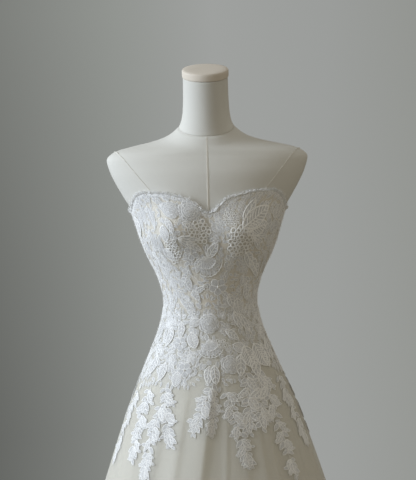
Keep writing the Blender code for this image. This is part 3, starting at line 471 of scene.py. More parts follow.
def mixColours(tree, factor, one, two):
    mix = addNode(tree, "ShaderNodeMix", {0: factor}, data_type="RGBA")
    mix.inputs["A"].default_value = one
    mix.inputs["B"].default_value = two
    return mix.outputs["Result"]


# Cloth: threads as two crossing waves in real millimetres, faint random patches of darker and lighter tone
def clothMaterial(name, sizes):
    material, tree = startMaterial(name)
    place = addNode(tree, "ShaderNodeTexCoord")
    source = place.outputs["UV" if sizes.get("uv") else "Object"]
    waves = []
    for axis in sizes["axes"]:
        wave = addNode(
            tree,
            "ShaderNodeTexWave",
            {"Vector": source, "Scale": 0.31416 / sizes["thread"], "Distortion": sizes.get("wobble", 0.6), "Detail": 1.0},
            bands_direction=axis,
        )
        waves.append(wave.outputs["Fac"])
    height = waves[0]
    for other in waves[1:]:
        height = addNode(tree, "ShaderNodeMath", {0: height, 1: other}, operation="ADD").outputs[0]
    patches = addNode(tree, "ShaderNodeTexNoise", {"Vector": source, "Scale": sizes["patch"], "Detail": 4.0})
    colour = mixColours(tree, patches.outputs["Fac"], linear(sizes["dark"]), linear(sizes["light"]))
    near = addNode(tree, "ShaderNodeTexNoise", {"Vector": source, "Scale": sizes.get("fuzz", 900.0), "Detail": 2.0})
    total = addNode(tree, "ShaderNodeMath", {0: height, 1: near.outputs["Fac"]}, operation="ADD")
    bump = addNode(tree, "ShaderNodeBump", {"Strength": sizes["bump"], "Distance": 0.2 * sizes["thread"], "Height": total.outputs[0]})
    shader = addNode(
        tree,
        "ShaderNodeBsdfPrincipled",
        {
            "Base Color": colour,
            "Roughness": sizes["rough"],
            "Sheen Weight": sizes.get("sheen", 0.1),
            "Sheen Roughness": 0.5,
            "Normal": bump.outputs[0],
        },
    )
    if "sheer" in sizes:
        cover = addNode(
            tree,
            "ShaderNodeMapRange",
            {"Value": waves[0], "From Min": 0.15, "From Max": 0.60, "To Min": sizes["sheer"], "To Max": 1.0},
        )
        clear = addNode(tree, "ShaderNodeBsdfTransparent")
        shader = addNode(tree, "ShaderNodeMixShader", {0: cover.outputs[0], 1: clear.outputs[0], 2: shader.outputs[0]})
    endMaterial(tree, shader.outputs[0])
    return material


# Sheer net: cell-like holes from a Voronoi pattern, let through as clear parts
def netMaterial(name, sizes):
    material, tree = startMaterial(name)
    place = addNode(tree, "ShaderNodeTexCoord")
    cells = addNode(
        tree,
        "ShaderNodeTexVoronoi",
        {"Vector": place.outputs["UV"], "Scale": 1.0 / sizes["hole"], "Randomness": sizes.get("random", 0.35)},
        feature="DISTANCE_TO_EDGE",
        voronoi_dimensions="2D",
    )
    threads = addNode(
        tree,
        "ShaderNodeMapRange",
        {"Value": cells.outputs["Distance"], "From Min": 0.02, "From Max": 0.30, "To Min": sizes["dense"], "To Max": sizes["clear"]},
    )
    cloth = addNode(
        tree,
        "ShaderNodeBsdfPrincipled",
        {"Base Color": linear(sizes["light"]), "Roughness": 0.7, "Sheen Weight": 0.2},
    )
    light = addNode(tree, "ShaderNodeBsdfTranslucent", {"Color": linear(sizes["light"])})
    veil = addNode(tree, "ShaderNodeMixShader", {0: 0.3, 1: cloth.outputs[0], 2: light.outputs[0]})
    clear = addNode(tree, "ShaderNodeBsdfTransparent")
    shader = addNode(tree, "ShaderNodeMixShader", {0: threads.outputs[0], 1: clear.outputs[0], 2: veil.outputs[0]})
    endMaterial(tree, shader.outputs[0])
    return material


# Plain parts: a colour with faint patches, a gloss and fine scratches or grain
def plainMaterial(name, sizes):
    material, tree = startMaterial(name)
    place = addNode(tree, "ShaderNodeTexCoord")
    grain = addNode(tree, "ShaderNodeTexNoise", {"Vector": place.outputs["Object"], "Scale": sizes["grain"], "Detail": 5.0})
    colour = mixColours(tree, grain.outputs["Fac"], linear(sizes["dark"]), linear(sizes["light"]))
    bump = addNode(tree, "ShaderNodeBump", {"Strength": sizes["bump"], "Distance": 0.0003, "Height": grain.outputs["Fac"]})
    shader = addNode(
        tree,
        "ShaderNodeBsdfPrincipled",
        {
            "Base Color": colour,
            "Roughness": sizes["rough"],
            "Metallic": sizes.get("metal", 0.0),
            "Coat Weight": sizes.get("coat", 0.0),
            "Normal": bump.outputs[0],
        },
    )
    endMaterial(tree, shader.outputs[0])
    return material


jerseyCloth = clothMaterial(
    "form jersey",  # soft knit, matte and slightly creamy, with a faint rib
    {"thread": 0.0011, "axes": ("X", "Z"), "dark": "#c9c9c5", "light": "#d2d2ce", "patch": 6.0, "bump": 0.30, "rough": 0.9, "sheen": 0.15},
)
capCloth = clothMaterial(
    "cap canvas",  # closely woven canvas, duller and warmer than the jersey
    {"thread": 0.0009, "axes": ("X", "Y"), "dark": "#cdc5ba", "light": "#d8d1c7", "patch": 30.0, "bump": 0.25, "rough": 0.85},
)
tapeCloth = clothMaterial(
    "seam tape",  # cotton tape, a touch yellower than the jersey
    {"thread": 0.0008, "axes": ("X", "Z"), "dark": "#cfcdc6", "light": "#d6d4cd", "patch": 40.0, "bump": 0.3, "rough": 0.9},
)
bodiceSatin = clothMaterial(
    "bodice satin",  # smooth ivory satin that shows in the lace's gaps
    {"thread": 0.0004, "axes": ("Z",), "dark": "#cfcac0", "light": "#d9d5cc", "patch": 12.0, "bump": 0.08, "rough": 0.42, "sheen": 0.2},
)
skirtSatin = clothMaterial(
    "skirt satin",  # the same satin, warmer under the tulle
    {"thread": 0.0004, "axes": ("Z",), "dark": "#d1cdc1", "light": "#dcd8cd", "patch": 5.0, "bump": 0.06, "rough": 0.45, "sheen": 0.2},
)
softTulle = netMaterial(
    "soft tulle",  # fine net, hazy
    {"hole": 0.0016, "dense": 0.66, "clear": 0.34, "light": "#e7e7e3"},
)
laceNet = netMaterial(
    "lace net",  # clearer net that joins the motifs
    {"hole": 0.0022, "dense": 0.85, "clear": 0.12, "light": "#f0f0ed"},
)
# The motif cloth is coloured greyer and bluer than the cord: painted shade between the raised cords and petals
laceShadedCloth = clothMaterial(
    "lace motif",  # close stitched threads along each leaf
    {"uv": True, "thread": 0.0007, "axes": ("X",), "dark": "#ced1d6", "light": "#e1e4e8", "patch": 180.0, "bump": 0.7, "rough": 0.7, "sheen": 0.5, "wobble": 2.0, "sheer": 0.45},
)
laceCord = clothMaterial(
    "lace cord",  # twisted rayon cord, the brightest and slightly silky
    {"uv": True, "thread": 0.0006, "axes": ("DIAGONAL",), "dark": "#ebedee", "light": "#f7f8f9", "patch": 90.0, "bump": 0.3, "rough": 0.5, "sheen": 0.5},
)
pearlBead = plainMaterial(
    "pearl bead",  # small glossy bead with a soft coat
    {"grain": 400.0, "dark": "#e4e2dd", "light": "#f4f3f0", "bump": 0.05, "rough": 0.18, "coat": 0.6},
)
zipNylon = plainMaterial(
    "zip nylon",  # moulded coil, slightly shiny
    {"grain": 900.0, "dark": "#d8d4ca", "light": "#e2dfd6", "bump": 0.1, "rough": 0.4},
)
zipMetal = plainMaterial(
    "zip metal",  # painted zinc, soft gloss
    {"grain": 700.0, "dark": "#cfccc2", "light": "#dcd9d0", "bump": 0.15, "rough": 0.3, "metal": 0.6},
)
standSteel = plainMaterial(
    "stand steel",  # brushed steel with fine grain
    {"grain": 260.0, "dark": "#a9a7a2", "light": "#bdbbb6", "bump": 0.2, "rough": 0.34, "metal": 1.0},
)
print("materials made")


# Meshes

def gridQuads(rows, columns, closed=False):
    r, c = np.meshgrid(np.arange(rows - 1), np.arange(columns if closed else columns - 1), indexing="ij")
    d = (c + 1) % columns
    quads = np.stack([r * columns + c, r * columns + d, (r + 1) * columns + d, (r + 1) * columns + c], -1)
    return quads.reshape(-1, 4)


def addPiece(name, verts, faces, materials, slots=None, uv=None, smooth=True):
    mesh = bpy.data.meshes.new(name)
    mesh.from_pydata(np.asarray(verts).tolist(), [], np.asarray(faces).tolist() if isinstance(faces, np.ndarray) else faces)
    for material in materials:
        mesh.materials.append(material)
    if slots is not None:
        mesh.polygons.foreach_set("material_index", np.asarray(slots, dtype=np.int32))
    if uv is not None:
        layer = mesh.uv_layers.new(name="threads")
        index = np.zeros(len(mesh.loops), dtype=np.int32)
        mesh.loops.foreach_get("vertex_index", index)
        layer.data.foreach_set("uv", np.asarray(uv, dtype=np.float32)[index].ravel())
    mesh.update()
    if smooth:
        mesh.shade_smooth()
    piece = bpy.data.objects.new(name, mesh)
    bpy.context.scene.collection.objects.link(piece)
    return piece


def shellPiece(name, outer, inner, materials, closed=False, uv=None):
    rows, columns = outer.shape[:2]
    verts = np.vstack([outer.reshape(-1, 3), inner.reshape(-1, 3)])
    shift = rows * columns
    quads = gridQuads(rows, columns, closed)
    faces = [quads, quads[:, ::-1] + shift]
    low = np.arange(columns)
    high = low + (rows - 1) * columns
    if closed:
        n = np.roll(np.arange(columns), -1)
        faces.append(np.stack([low[n], low, low + shift, low[n] + shift], -1))
        faces.append(np.stack([high, high[n], high[n] + shift, high + shift], -1))
    else:
        rim = np.concatenate([low, low[-1] + columns * np.arange(1, rows), high[-2::-1], columns * np.arange(rows - 2, 0, -1)])
        nxt = np.roll(rim, -1)
        faces.append(np.stack([nxt, rim, rim + shift, nxt + shift], -1))
    uvs = None if uv is None else np.vstack([uv.reshape(-1, 2)] * 2)
    return addPiece(name, verts, np.vstack(faces), materials, uv=uvs)


def sweep(path, radius, sides, closed=False, flat=1.0, up=None, half=False):
    path = np.asarray(path, dtype=float)
    count = len(path)
    if closed:
        tangent = np.roll(path, -1, axis=0) - np.roll(path, 1, axis=0)
    else:
        tangent = np.gradient(path, axis=0)
    tangent /= np.maximum(np.linalg.norm(tangent, axis=1, keepdims=True), 1e-12)
    lift = np.tile(np.array([0.0, 0.0, 1.0]), (count, 1)) if up is None else np.asarray(up, dtype=float)
    side = np.cross(tangent, lift)
    side /= np.maximum(np.linalg.norm(side, axis=1, keepdims=True), 1e-12)
    lift = np.cross(side, tangent)
    turn = (np.pi if half else 2 * np.pi) * np.arange(sides + half) / sides
    columns = len(turn)
    radius = np.broadcast_to(np.asarray(radius, dtype=float), (count,))
    ring = side[:, None, :] * np.cos(turn)[None, :, None] + flat * lift[:, None, :] * np.sin(turn)[None, :, None]
    verts = (path[:, None, :] + ring * radius[:, None, None]).reshape(-1, 3)
    rows = np.arange(count if closed else count - 1)
    r, a = np.meshgrid(rows, np.arange(sides), indexing="ij")
    n = (r + 1) % count
    b = (a + 1) % columns
    quads = np.stack([r * columns + a, n * columns + a, n * columns + b, r * columns + b], -1).reshape(-1, 4)
    length = np.concatenate([[0.0], np.cumsum(np.linalg.norm(np.diff(path, axis=0), axis=1))])
    uv = np.stack(np.meshgrid(length, turn * radius.mean(), indexing="ij"), -1).reshape(-1, 2)
    return verts, quads, uv


# Stamps: small raised motifs in flat millimetre-like units, root at 0, pointing along +Y.
# Slot 0 is the stitched cloth, slot 1 the cord, slot 2 the bead.

def makeStamp(verts, quads, uv, slot):
    return {"verts": np.asarray(verts, dtype=float), "quads": quads, "uv": uv, "slot": np.full(len(quads), slot)}


# A cord as a ridge, open where it lies on the cloth
def cordStamp(path, radius, closed=False):
    return makeStamp(*sweep(path, radius, 2, closed=closed, flat=1.5, half=True), 1)


def joinStamps(parts):
    verts, quads, uv, slot = [], [], [], []
    shift = 0
    for part, turn, x, y, height, scale in parts:
        c, s = math.cos(math.radians(turn)), math.sin(math.radians(turn))
        v = part["verts"] * scale
        verts.append(np.stack([v[:, 0] * c - v[:, 1] * s + x, v[:, 0] * s + v[:, 1] * c + y, v[:, 2] + height], -1))
        quads.append(part["quads"] + shift)
        uv.append(part["uv"] * scale)
        slot.append(part["slot"])
        shift += len(v)
    return {"verts": np.vstack(verts), "quads": np.vstack(quads), "uv": np.vstack(uv), "slot": np.concatenate(slot)}


def leafStamp(ratio, rows=6, columns=4, veins=4, cord=0.020, skew=0.85, blunt=0.8, bend=0.0, dome=0.035):
    t = np.linspace(0, 1, rows + 1)
    half = ratio / 2 * np.sin(np.pi * t**skew) ** blunt
    half[0] = half[-1] = 0.0
    sway = bend * t * t
    across = np.linspace(-1.0, 1.0, columns + 1)
    x = sway[:, None] + half[:, None] * across[None, :]
    y = np.repeat(t[:, None], columns + 1, axis=1)
    swell = np.abs(across) * 1.6 - across**2 * 1.3 + 0.1 if columns > 2 else 0.6 - 0.6 * np.abs(across)
    h = 0.012 + dome * (half / (ratio / 2))[:, None] * swell[None, :]
    blade = makeStamp(np.stack([x, y, h], -1).reshape(-1, 3), gridQuads(rows + 1, columns + 1), np.stack([x, y], -1).reshape(-1, 2), 0)
    parts = [(blade, 0, 0, 0, 0, 1)]
    left = np.stack([sway - half, t, np.full(rows + 1, cord * 0.3)], -1)
    right = np.stack([sway + half, t, np.full(rows + 1, cord * 0.3)], -1)
    parts.append((cordStamp(np.vstack([left[:-1], right[:0:-1]]), cord, closed=True), 0, 0, 0, 0, 1))
    if veins >= 0:
        rib = np.stack([sway, t, np.full(rows + 1, dome * 0.3 + cord * 0.3)], -1)[:rows]
        parts.append((cordStamp(rib, cord * np.linspace(0.9, 0.5, len(rib))), 0, 0, 0, 0, 1))
    for k in range(max(veins, 0)):
        at = 0.16 + 0.62 * k / max(veins - 1, 1)
        w = float(np.interp(at + 0.12, t, half)) * 0.82
        s0 = bend * at * at
        for side in (-1, 1):
            line = [(s0, at, dome * 0.25 + cord * 0.5), (s0 + side * w * 0.5, at + 0.07, dome * 0.75 + cord * 0.3)]
            line.append((s0 + side * w, at + 0.16, dome * 0.5 + cord * 0.1))
            parts.append((cordStamp(line, cord * 0.55), 0, 0, 0, 0, 1))
    return joinStamps(parts)


def beadStamp(radius, slot=2):
    rows = []
    for lat in (-50, 0, 50):
        turn = math.radians(lat)
        around = [math.pi * k / 2 for k in range(4)]
        rows.append([(radius * math.cos(turn) * math.cos(a), radius * math.cos(turn) * math.sin(a), radius * (1 + math.sin(turn))) for a in around])
    verts = np.array(rows).reshape(-1, 3)
    quads = np.vstack([gridQuads(3, 4, True), [[8, 9, 10, 11], [3, 2, 1, 0]]])
    return makeStamp(verts, quads, np.zeros((len(verts), 2)), slot)


def ringStamp(radius, cord, segments=12):
    turn = 2 * np.pi * np.arange(segments) / segments
    path = np.stack([radius * np.cos(turn), radius * np.sin(turn), np.full(segments, cord * 0.3)], -1)
    return cordStamp(path, cord, closed=True)


def curlStamp(turns=1.4, cord=0.040, count=12):
    t = np.linspace(0, 1, count)
    turn = 2 * np.pi * turns * t
    radius = 0.12 + 0.40 * t
    path = np.stack([radius * np.cos(turn), 0.45 + radius * np.sin(turn), cord * 0.3 + 0.05 * (1 - t)], -1)
    return cordStamp(path, cord * (1.15 - 0.5 * t))


def blossomStamp(petals, petal, inner, lift):
    parts = [(petal, 360.0 * k / petals, 0, 0, 0.02 * (k % 2), 1) for k in range(petals)]
    moved = []
    for part, turn, _, _, height, scale in parts:
        a = math.radians(turn)
        moved.append((part, turn, -math.sin(a) * inner, math.cos(a) * inner, height + lift, scale))
    return moved


def fanStamp(ribs, spread, blade):
    parts = []
    for k in range(ribs):
        turn = -spread / 2 + spread * k / (ribs - 1)
        reach = 1.0 - 0.16 * abs(2 * k / (ribs - 1) - 1) ** 2
        parts.append((blade, turn, 0, 0, 0.012 * (k % 2), reach))
    edge = np.radians(np.linspace(-spread / 2 - 4, spread / 2 + 4, 22))
    for reach in (0.97, 0.62):
        bow = reach * (1.0 - 0.14 * (edge / edge[-1]) ** 2) + 0.02 * np.cos(np.arange(22) * 2.1)
        path = np.stack([-np.sin(edge) * bow, np.cos(edge) * bow, np.full(22, 0.05)], -1)
        parts.append((cordStamp(path, 0.016), 0, 0, 0, 0, 1))
    return joinStamps(parts)


def roseStamp():
    parts = []
    for count, start, root, scale, lift in ((5, 0, 0.26, 0.74, 0.0), (5, 36, 0.10, 0.64, 0.055), (4, 10, 0.0, 0.50, 0.11), (3, 50, -0.06, 0.36, 0.16)):
        for k in range(count):
            turn = start + 360.0 * k / count
            a = math.radians(turn)
            parts.append((petalWide, turn + 8, -math.sin(a) * root, math.cos(a) * root, lift + 0.012 * (k % 2), scale))
    parts.append((curl, 0, 0.0, -0.07, 0.22, 0.16))
    parts.append((bead, 0, 0.0, 0.0, 0.22, 0.045))
    return joinStamps(parts)


leaf = leafStamp(0.44, cord=0.030)
leafSlim = leafStamp(0.28, veins=3, cord=0.025)
leafLong = leafStamp(0.26, rows=10, veins=7, cord=0.012, dome=0.016, bend=0.08)
leafWide = leafStamp(0.62, rows=9, veins=7, cord=0.029, skew=1.0, blunt=0.7)
leafBent = leafStamp(0.42, cord=0.030, bend=0.22)
leafBentBack = leafStamp(0.42, cord=0.030, bend=-0.22)
leafMid = leafStamp(0.46, rows=5, veins=2, cord=0.028)
leafSmall = leafStamp(0.46, rows=4, columns=2, veins=-1, cord=0.036, dome=0.05)
petalFine = leafStamp(0.85, rows=5, veins=-1, cord=0.044, skew=1.35, blunt=0.6, dome=0.08)
petalSmall = leafStamp(0.85, rows=3, columns=2, veins=-1, cord=0.046, skew=1.35, blunt=0.6, dome=0.08)
petal = leafStamp(0.95, rows=7, veins=3, cord=0.028, skew=1.35, blunt=0.55, dome=0.09)
petalWide = leafStamp(1.30, rows=8, veins=3, cord=0.042, skew=1.5, blunt=0.5, dome=0.15)
ribBlade = leafStamp(0.17, rows=7, veins=0, cord=0.014, skew=1.25, blunt=0.7, dome=0.02)
bead = beadStamp(1.0)
ring = ringStamp(0.84, 0.21)
curl = curlStamp()
blossom = joinStamps([*blossomStamp(5, petalFine, 0.10, 0.0), (bead, 0, 0, 0, 0.06, 0.13)])
blossomSmall = joinStamps([*blossomStamp(5, petalSmall, 0.10, 0.0), (bead, 0, 0, 0, 0.06, 0.13)])
rose = roseStamp()
fan = fanStamp(9, 78.0, ribBlade)


def sprigStamp(seed):
    pick = np.random.default_rng(seed)
    bend = pick.uniform(-0.35, 0.35)
    t = np.linspace(0, 1, 6)
    parts = [(cordStamp(np.stack([bend * t * t, t, np.full(6, 0.005)], -1), 0.014), 0, 0, 0, 0, 1)]
    for k in range(7):
        at = 0.08 + 0.11 * k
        side = 1 if k % 2 else -1
        turn = side * pick.uniform(34, 58) - math.degrees(math.atan(2 * bend * at))
        size = 0.34 * (1 - 0.06 * k) * pick.uniform(0.85, 1.1)
        parts.append((leafSmall if k % 3 else leafMid, turn, bend * at * at, at, 0.010, size))
    parts.append((blossomSmall, pick.uniform(0, 60), bend, 1.0, 0.008, 0.16))
    parts.append((curl, 40 + pick.uniform(-15, 15), bend * 0.25, 0.5, 0.0, 0.16))
    return joinStamps(parts)


sprigs = [sprigStamp(seed) for seed in (3, 8, 21, 34)]
stamps = {
    "leaf": leaf, "leafSlim": leafSlim, "leafLong": leafLong, "leafWide": leafWide, "leafBent": leafBent, "leafBentBack": leafBentBack,
    "leafSmall": leafSmall, "petal": petal, "bead": bead, "ring": ring, "curl": curl, "blossom": blossom,
    "blossomSmall": blossomSmall,
    "rose": rose, "fan": fan, "sprigA": sprigs[0], "sprigB": sprigs[1], "sprigC": sprigs[2], "sprigD": sprigs[3],
}
print("stamps made", {k: len(v["quads"]) for k, v in stamps.items()})


# Stamps laid on the gown. Rows: kind, angle, height, heading, size.
reliefShare = 0.62
zipClear = 178.1  # degrees from the centre front that stamps stay within

def surfaceScale(angle, z):
    step = 0.5
    here = np.array(gownPoint(angle, z, 0.0))
    beside = np.array(gownPoint(angle + step, z, 0.0))
    below = np.array(gownPoint(angle, z - 0.004, 0.0))
    return np.linalg.norm(beside - here, axis=0) / step, np.linalg.norm(below - here, axis=0) / 0.004


def layStamps(rows, lift=0.0):
    kinds = {}
    for row in rows:
        kinds.setdefault(row[0], []).append(row[1:])
    verts, quads, uv, slot = [], [], [], []
    shift = 0
    for kind, places in kinds.items():
        stamp = stamps[kind]
        angle, z, heading, size = np.array(places, dtype=float).T
        perDegree, perHeight = surfaceScale(angle, z)
        c, s = np.cos(np.radians(heading)), np.sin(np.radians(heading))
        x = stamp["verts"][None, :, 0] * size[:, None]
        y = stamp["verts"][None, :, 1] * size[:, None]
        u = -x * c[:, None] + y * s[:, None]
        v = -x * s[:, None] - y * c[:, None]
        a = angle[:, None] + u / perDegree[:, None]
        h = z[:, None] + v / perHeight[:, None]
        clear = np.abs(a).max(axis=1) < zipClear
        if not clear.any():
            continue
        a, h, size = a[clear], h[clear], size[clear]
        points = np.array(gownPoint(a.ravel(), h.ravel(), (reliefShare * stamp["verts"][None, :, 2] * size[:, None]).ravel() + lift)).T
        n = len(stamp["verts"])
        verts.append(points)
        quads.append((stamp["quads"][None] + (np.arange(len(size)) * n)[:, None, None]).reshape(-1, 4) + shift)
        uv.append((stamp["uv"][None] * size[:, None, None]).reshape(-1, 2))
        slot.append(np.tile(stamp["slot"], len(size)))
        shift += n * len(size)
    return np.vstack(verts), np.vstack(quads), np.vstack(uv), np.concatenate(slot)


# Main motifs of the front: kind, angle, height, heading, size
motifsFront = (
    ("rose", -26.6, 1.2801, 10, 0.019),
    ("rose", -12.8, 1.2779, 40, 0.0225),
    ("blossom", -35.1, 1.3000, 0, 0.0095),
    ("blossom", -27.0, 1.3060, 20, 0.0085),
    ("blossom", -43.3, 1.3010, 40, 0.0100),
    ("blossom", -52.0, 1.2950, 10, 0.0090),
    ("leafBent", -19.5, 1.2555, 75, 0.030),
    ("leaf", -32.0, 1.2640, 20, 0.034),
    ("leafWide", -36.0, 1.2500, 0, 0.036),
    ("leafSlim", -25.2, 1.2250, 62, 0.040),
    ("leafSlim", -25.0, 1.2240, 84, 0.044),
    ("leafSlim", -24.4, 1.2230, 46, 0.036),
    ("leafBent", -18.0, 1.2120, 70, 0.034),
    ("blossom", -15.5, 1.1900, 0, 0.0145),
    ("leafWide", -20.0, 1.1850, 150, 0.020),
    ("leaf", -1.2, 1.1801, 150, 0.039),
    ("leafSlim", -2.0, 1.1830, 176, 0.030),
    ("fan", -5.0, 1.1850, 26, 0.049),
    ("leaf", -6.5, 1.1800, -40, 0.026),
    ("leafBent", -9.0, 1.1700, -10, 0.024),
    ("leafWide", 26.0, 1.2420, 128, 0.062),
    ("leafWide", 29.5, 1.2330, 106, 0.050),
    ("leafBentBack", 26.0, 1.2560, 150, 0.046),
    ("leafBent", 41.0, 1.2920, 30, 0.030),
    ("petal", 45.0, 1.2400, 60, 0.026),
    ("petal", 47.0, 1.2400, 110, 0.024),
    ("petal", 58.0, 1.2500, 20, 0.030),
    ("leafWide", 57.0, 1.2820, 10, 0.034),
    ("leafSlim", 36.0, 1.2240, 60, 0.040),
    ("leafSlim", 38.0, 1.2180, 40, 0.040),
    ("leafSlim", 40.0, 1.2240, 80, 0.036),
    ("leafBent", 32.0, 1.1900, 40, 0.046),
    ("leafBent", 38.0, 1.1740, 52, 0.046),
    ("leafBent", 44.0, 1.1600, 58, 0.044),
    ("leafLong", 52.0, 1.1700, 20, 0.048),
    ("leafLong", 62.0, 1.1800, 10, 0.048),
    ("curl", -8.8, 1.1142, 120, 0.020),
    ("leafBent", -16.4, 1.1040, 140, 0.026),
    ("leaf", -20.0, 1.1120, 30, 0.028),
    ("leaf", -24.0, 1.1400, 10, 0.030),
    ("blossom", 8.6, 1.1180, 0, 0.017),
    ("leafWide", 5.0, 1.1460, 200, 0.018),
    ("leafBent", 12.0, 1.1080, 60, 0.026),
    ("leaf", 22.0, 1.1020, 20, 0.034),
    ("leafWide", 32.9, 1.0900, 10, 0.036),
    ("leaf", 44.0, 1.1200, 10, 0.038),
    ("leafLong", -54.0, 1.2900, 2, 0.052),
    ("leafLong", -46.0, 1.2860, 8, 0.054),
    ("leafLong", -62.0, 1.2740, 4, 0.050),
    ("leafLong", -52.0, 1.2360, 10, 0.048),
    ("leafLong", -66.0, 1.2200, 12, 0.052),
    ("leafLong", -44.0, 1.2250, 14, 0.046),
    ("leafBent", -70.0, 1.2600, 6, 0.046),
    ("leafWide", -40.0, 1.2000, 30, 0.034),
    ("rose", -2.1, 1.0420, 0, 0.021),
    ("leafWide", -12.0, 1.0500, -60, 0.026),
    ("leafWide", -22.4, 1.0240, 20, 0.034),
    ("leafBent", -36.0, 1.0440, 14, 0.036),
    ("leafBent", -50.0, 1.0300, 10, 0.040),
    ("fan", -2.0, 1.0120, 8, 0.040),
    ("leafBent", 16.0, 1.0280, 60, 0.034),
    ("leafSlim", 28.0, 1.0640, 20, 0.044),
    ("leafSlim", 36.0, 1.0580, 24, 0.046),
    ("leafWide", 22.0, 0.9980, 60, 0.032),
    ("rose", 16.5, 0.9600, 20, 0.0200),
    ("blossom", -24.0, 0.9500, 10, 0.0150),
    ("blossom", -33.0, 1.0000, 10, 0.0140),
    ("blossom", 47.0, 1.0150, 10, 0.0140),
    ("leafWide", 34.0, 0.9930, 14, 0.050),
    ("leafWide", 47.0, 0.9940, 18, 0.054),
    ("leaf", 41.0, 0.9760, 0, 0.050),
    ("leaf", 28.0, 0.9780, -10, 0.046),
    ("leafBent", 58.0, 0.9900, 12, 0.050),
    ("leafBent", 70.0, 1.0000, 8, 0.050),
    ("leaf", 2.0, 0.9600, 4, 0.040),
    ("leafBentBack", -2.0, 0.9580, -16, 0.036),
    ("leafWide", -30.0, 0.9460, 0, 0.032),
    ("leafBent", -46.0, 0.9600, 6, 0.040),
    ("leafBent", -60.0, 0.9700, 2, 0.044),
    ("leafLong", -70.0, 1.0400, 6, 0.046),
)

# Motifs of one back half, angles 90 to 180, mirrored for the other: kind, angle, height, heading, size
motifsBack = (
    ("rose", 122.0, 1.2380, 0, 0.020),
    ("leafWide", 134.0, 1.2360, 60, 0.040),
    ("leafBent", 110.0, 1.2500, -30, 0.036),
    ("blossom", 142.0, 1.2480, 10, 0.012),
    ("blossom", 98.0, 1.2480, 10, 0.012),
    ("fan", 136.0, 1.1900, 20, 0.044),
    ("leafLong", 100.0, 1.2100, 10, 0.048),
    ("leafSlim", 118.0, 1.2000, 4, 0.044),
    ("rose", 164.0, 1.1300, 20, 0.016),
    ("leafWide", 148.0, 1.1500, 20, 0.034),
    ("leafBent", 124.0, 1.1400, 10, 0.036),
    ("leaf", 104.0, 1.1500, 20, 0.034),
    ("blossom", 128.0, 1.1000, 0, 0.014),
    ("leafWide", 168.0, 1.2200, 10, 0.032),
    ("rose", 132.0, 1.0380, 0, 0.020),
    ("leafWide", 112.0, 1.0500, 10, 0.036),
    ("leafWide", 150.0, 1.0100, 10, 0.038),
    ("fan", 112.0, 1.0020, 0, 0.040),
    ("leafWide", 130.0, 0.9840, 0, 0.042),
    ("leafBent", 148.0, 0.9700, 4, 0.040),
    ("leafBent", 164.0, 1.0000, 2, 0.044),
    ("blossom", 166.0, 1.0400, 0, 0.014),
)

# Clusters of worked rings: angle, height, half width, half height, ring's size
ringClusters = (
    (-8.2, 1.2335, 0.025, 0.026, 0.0046),
    (-31.5, 1.1937, 0.016, 0.029, 0.0044),
    (27.0, 1.2130, 0.028, 0.035, 0.0050),
    (17.0, 1.2600, 0.018, 0.015, 0.0028),
    (8.0, 1.0000, 0.022, 0.010, 0.0028),
    (116.0, 1.1700, 0.016, 0.016, 0.0042),
    (-116.0, 1.1700, 0.016, 0.016, 0.0042),
    (156.0, 1.0800, 0.014, 0.016, 0.0040),
    (-156.0, 1.0800, 0.014, 0.016, 0.0040),
)


def flowHeading(angle, z):
    swirl = 34 * np.sin(angle / 21.0 + z * 31.0) + 22 * np.sin(angle / 9.5 - z * 47.0)
    return swirl + np.clip(angle, -70, 70) * 0.15


def scatter(seed, spacing, low, high, zLow, zHigh, fieldAt, margin, taken):
    pick = np.random.default_rng(seed)
    rows = []
    for row, z in enumerate(np.arange(zLow, zHigh, spacing * 0.87)):
        radius = float(formHalf(z) if z > waistZ else skirtHalf(z)) * 0.93
        step = math.degrees(spacing / radius)
        for a in np.arange(low + (row % 2) * step / 2, high, step):
            rows.append((a + pick.uniform(-0.3, 0.3) * step, z + pick.uniform(-0.3, 0.3) * spacing))
    places = np.array(rows)
    places = places[fieldAt(places[:, 0], places[:, 1]) > margin]
    if len(taken):
        keep = np.ones(len(places), dtype=bool)
        for angle, z, reach in taken:
            radius = float(formHalf(z) if z > waistZ else skirtHalf(z))
            away = np.hypot(np.radians(places[:, 0] - angle) * radius, places[:, 1] - z)
            keep &= away > reach
        places = places[keep]
    return places, pick


def motifDiscs(rows, clusters):
    discs = [(angle, z, 0.92 * max(wide, high)) for angle, z, wide, high, _ in clusters]
    share = {"leafWide": 0.26, "leaf": 0.19, "leafBent": 0.20, "leafBentBack": 0.20, "leafSlim": 0.12, "leafLong": 0.11, "petal": 0.40}
    for kind, angle, z, heading, size in rows:
        radius = float(formHalf(z) if z > waistZ else skirtHalf(z))
        a = math.radians(heading)
        if kind in ("rose", "blossom"):
            discs.append((angle, z, size * 1.0))
        elif kind == "fan":
            discs.append((angle + math.degrees(size * 0.6 * math.sin(a) / radius), z - size * 0.6 * math.cos(a), size * 0.55))
        else:
            for t in (0.22, 0.5, 0.78):
                reach = size * share.get(kind, 0.2) + 0.002
                discs.append((angle + math.degrees(size * t * math.sin(a) / radius), z - size * t * math.cos(a), reach))
    return discs


def tipInside(fieldAt, angle, z, heading, length):
    turn = math.radians(heading)
    radius = float(formHalf(z) if z > waistZ else skirtHalf(z))
    tipAngle = angle + math.degrees(length * math.sin(turn) / radius)
    return float(fieldAt(np.array([tipAngle]), np.array([z - length * math.cos(turn)]))[0]) > -0.0005


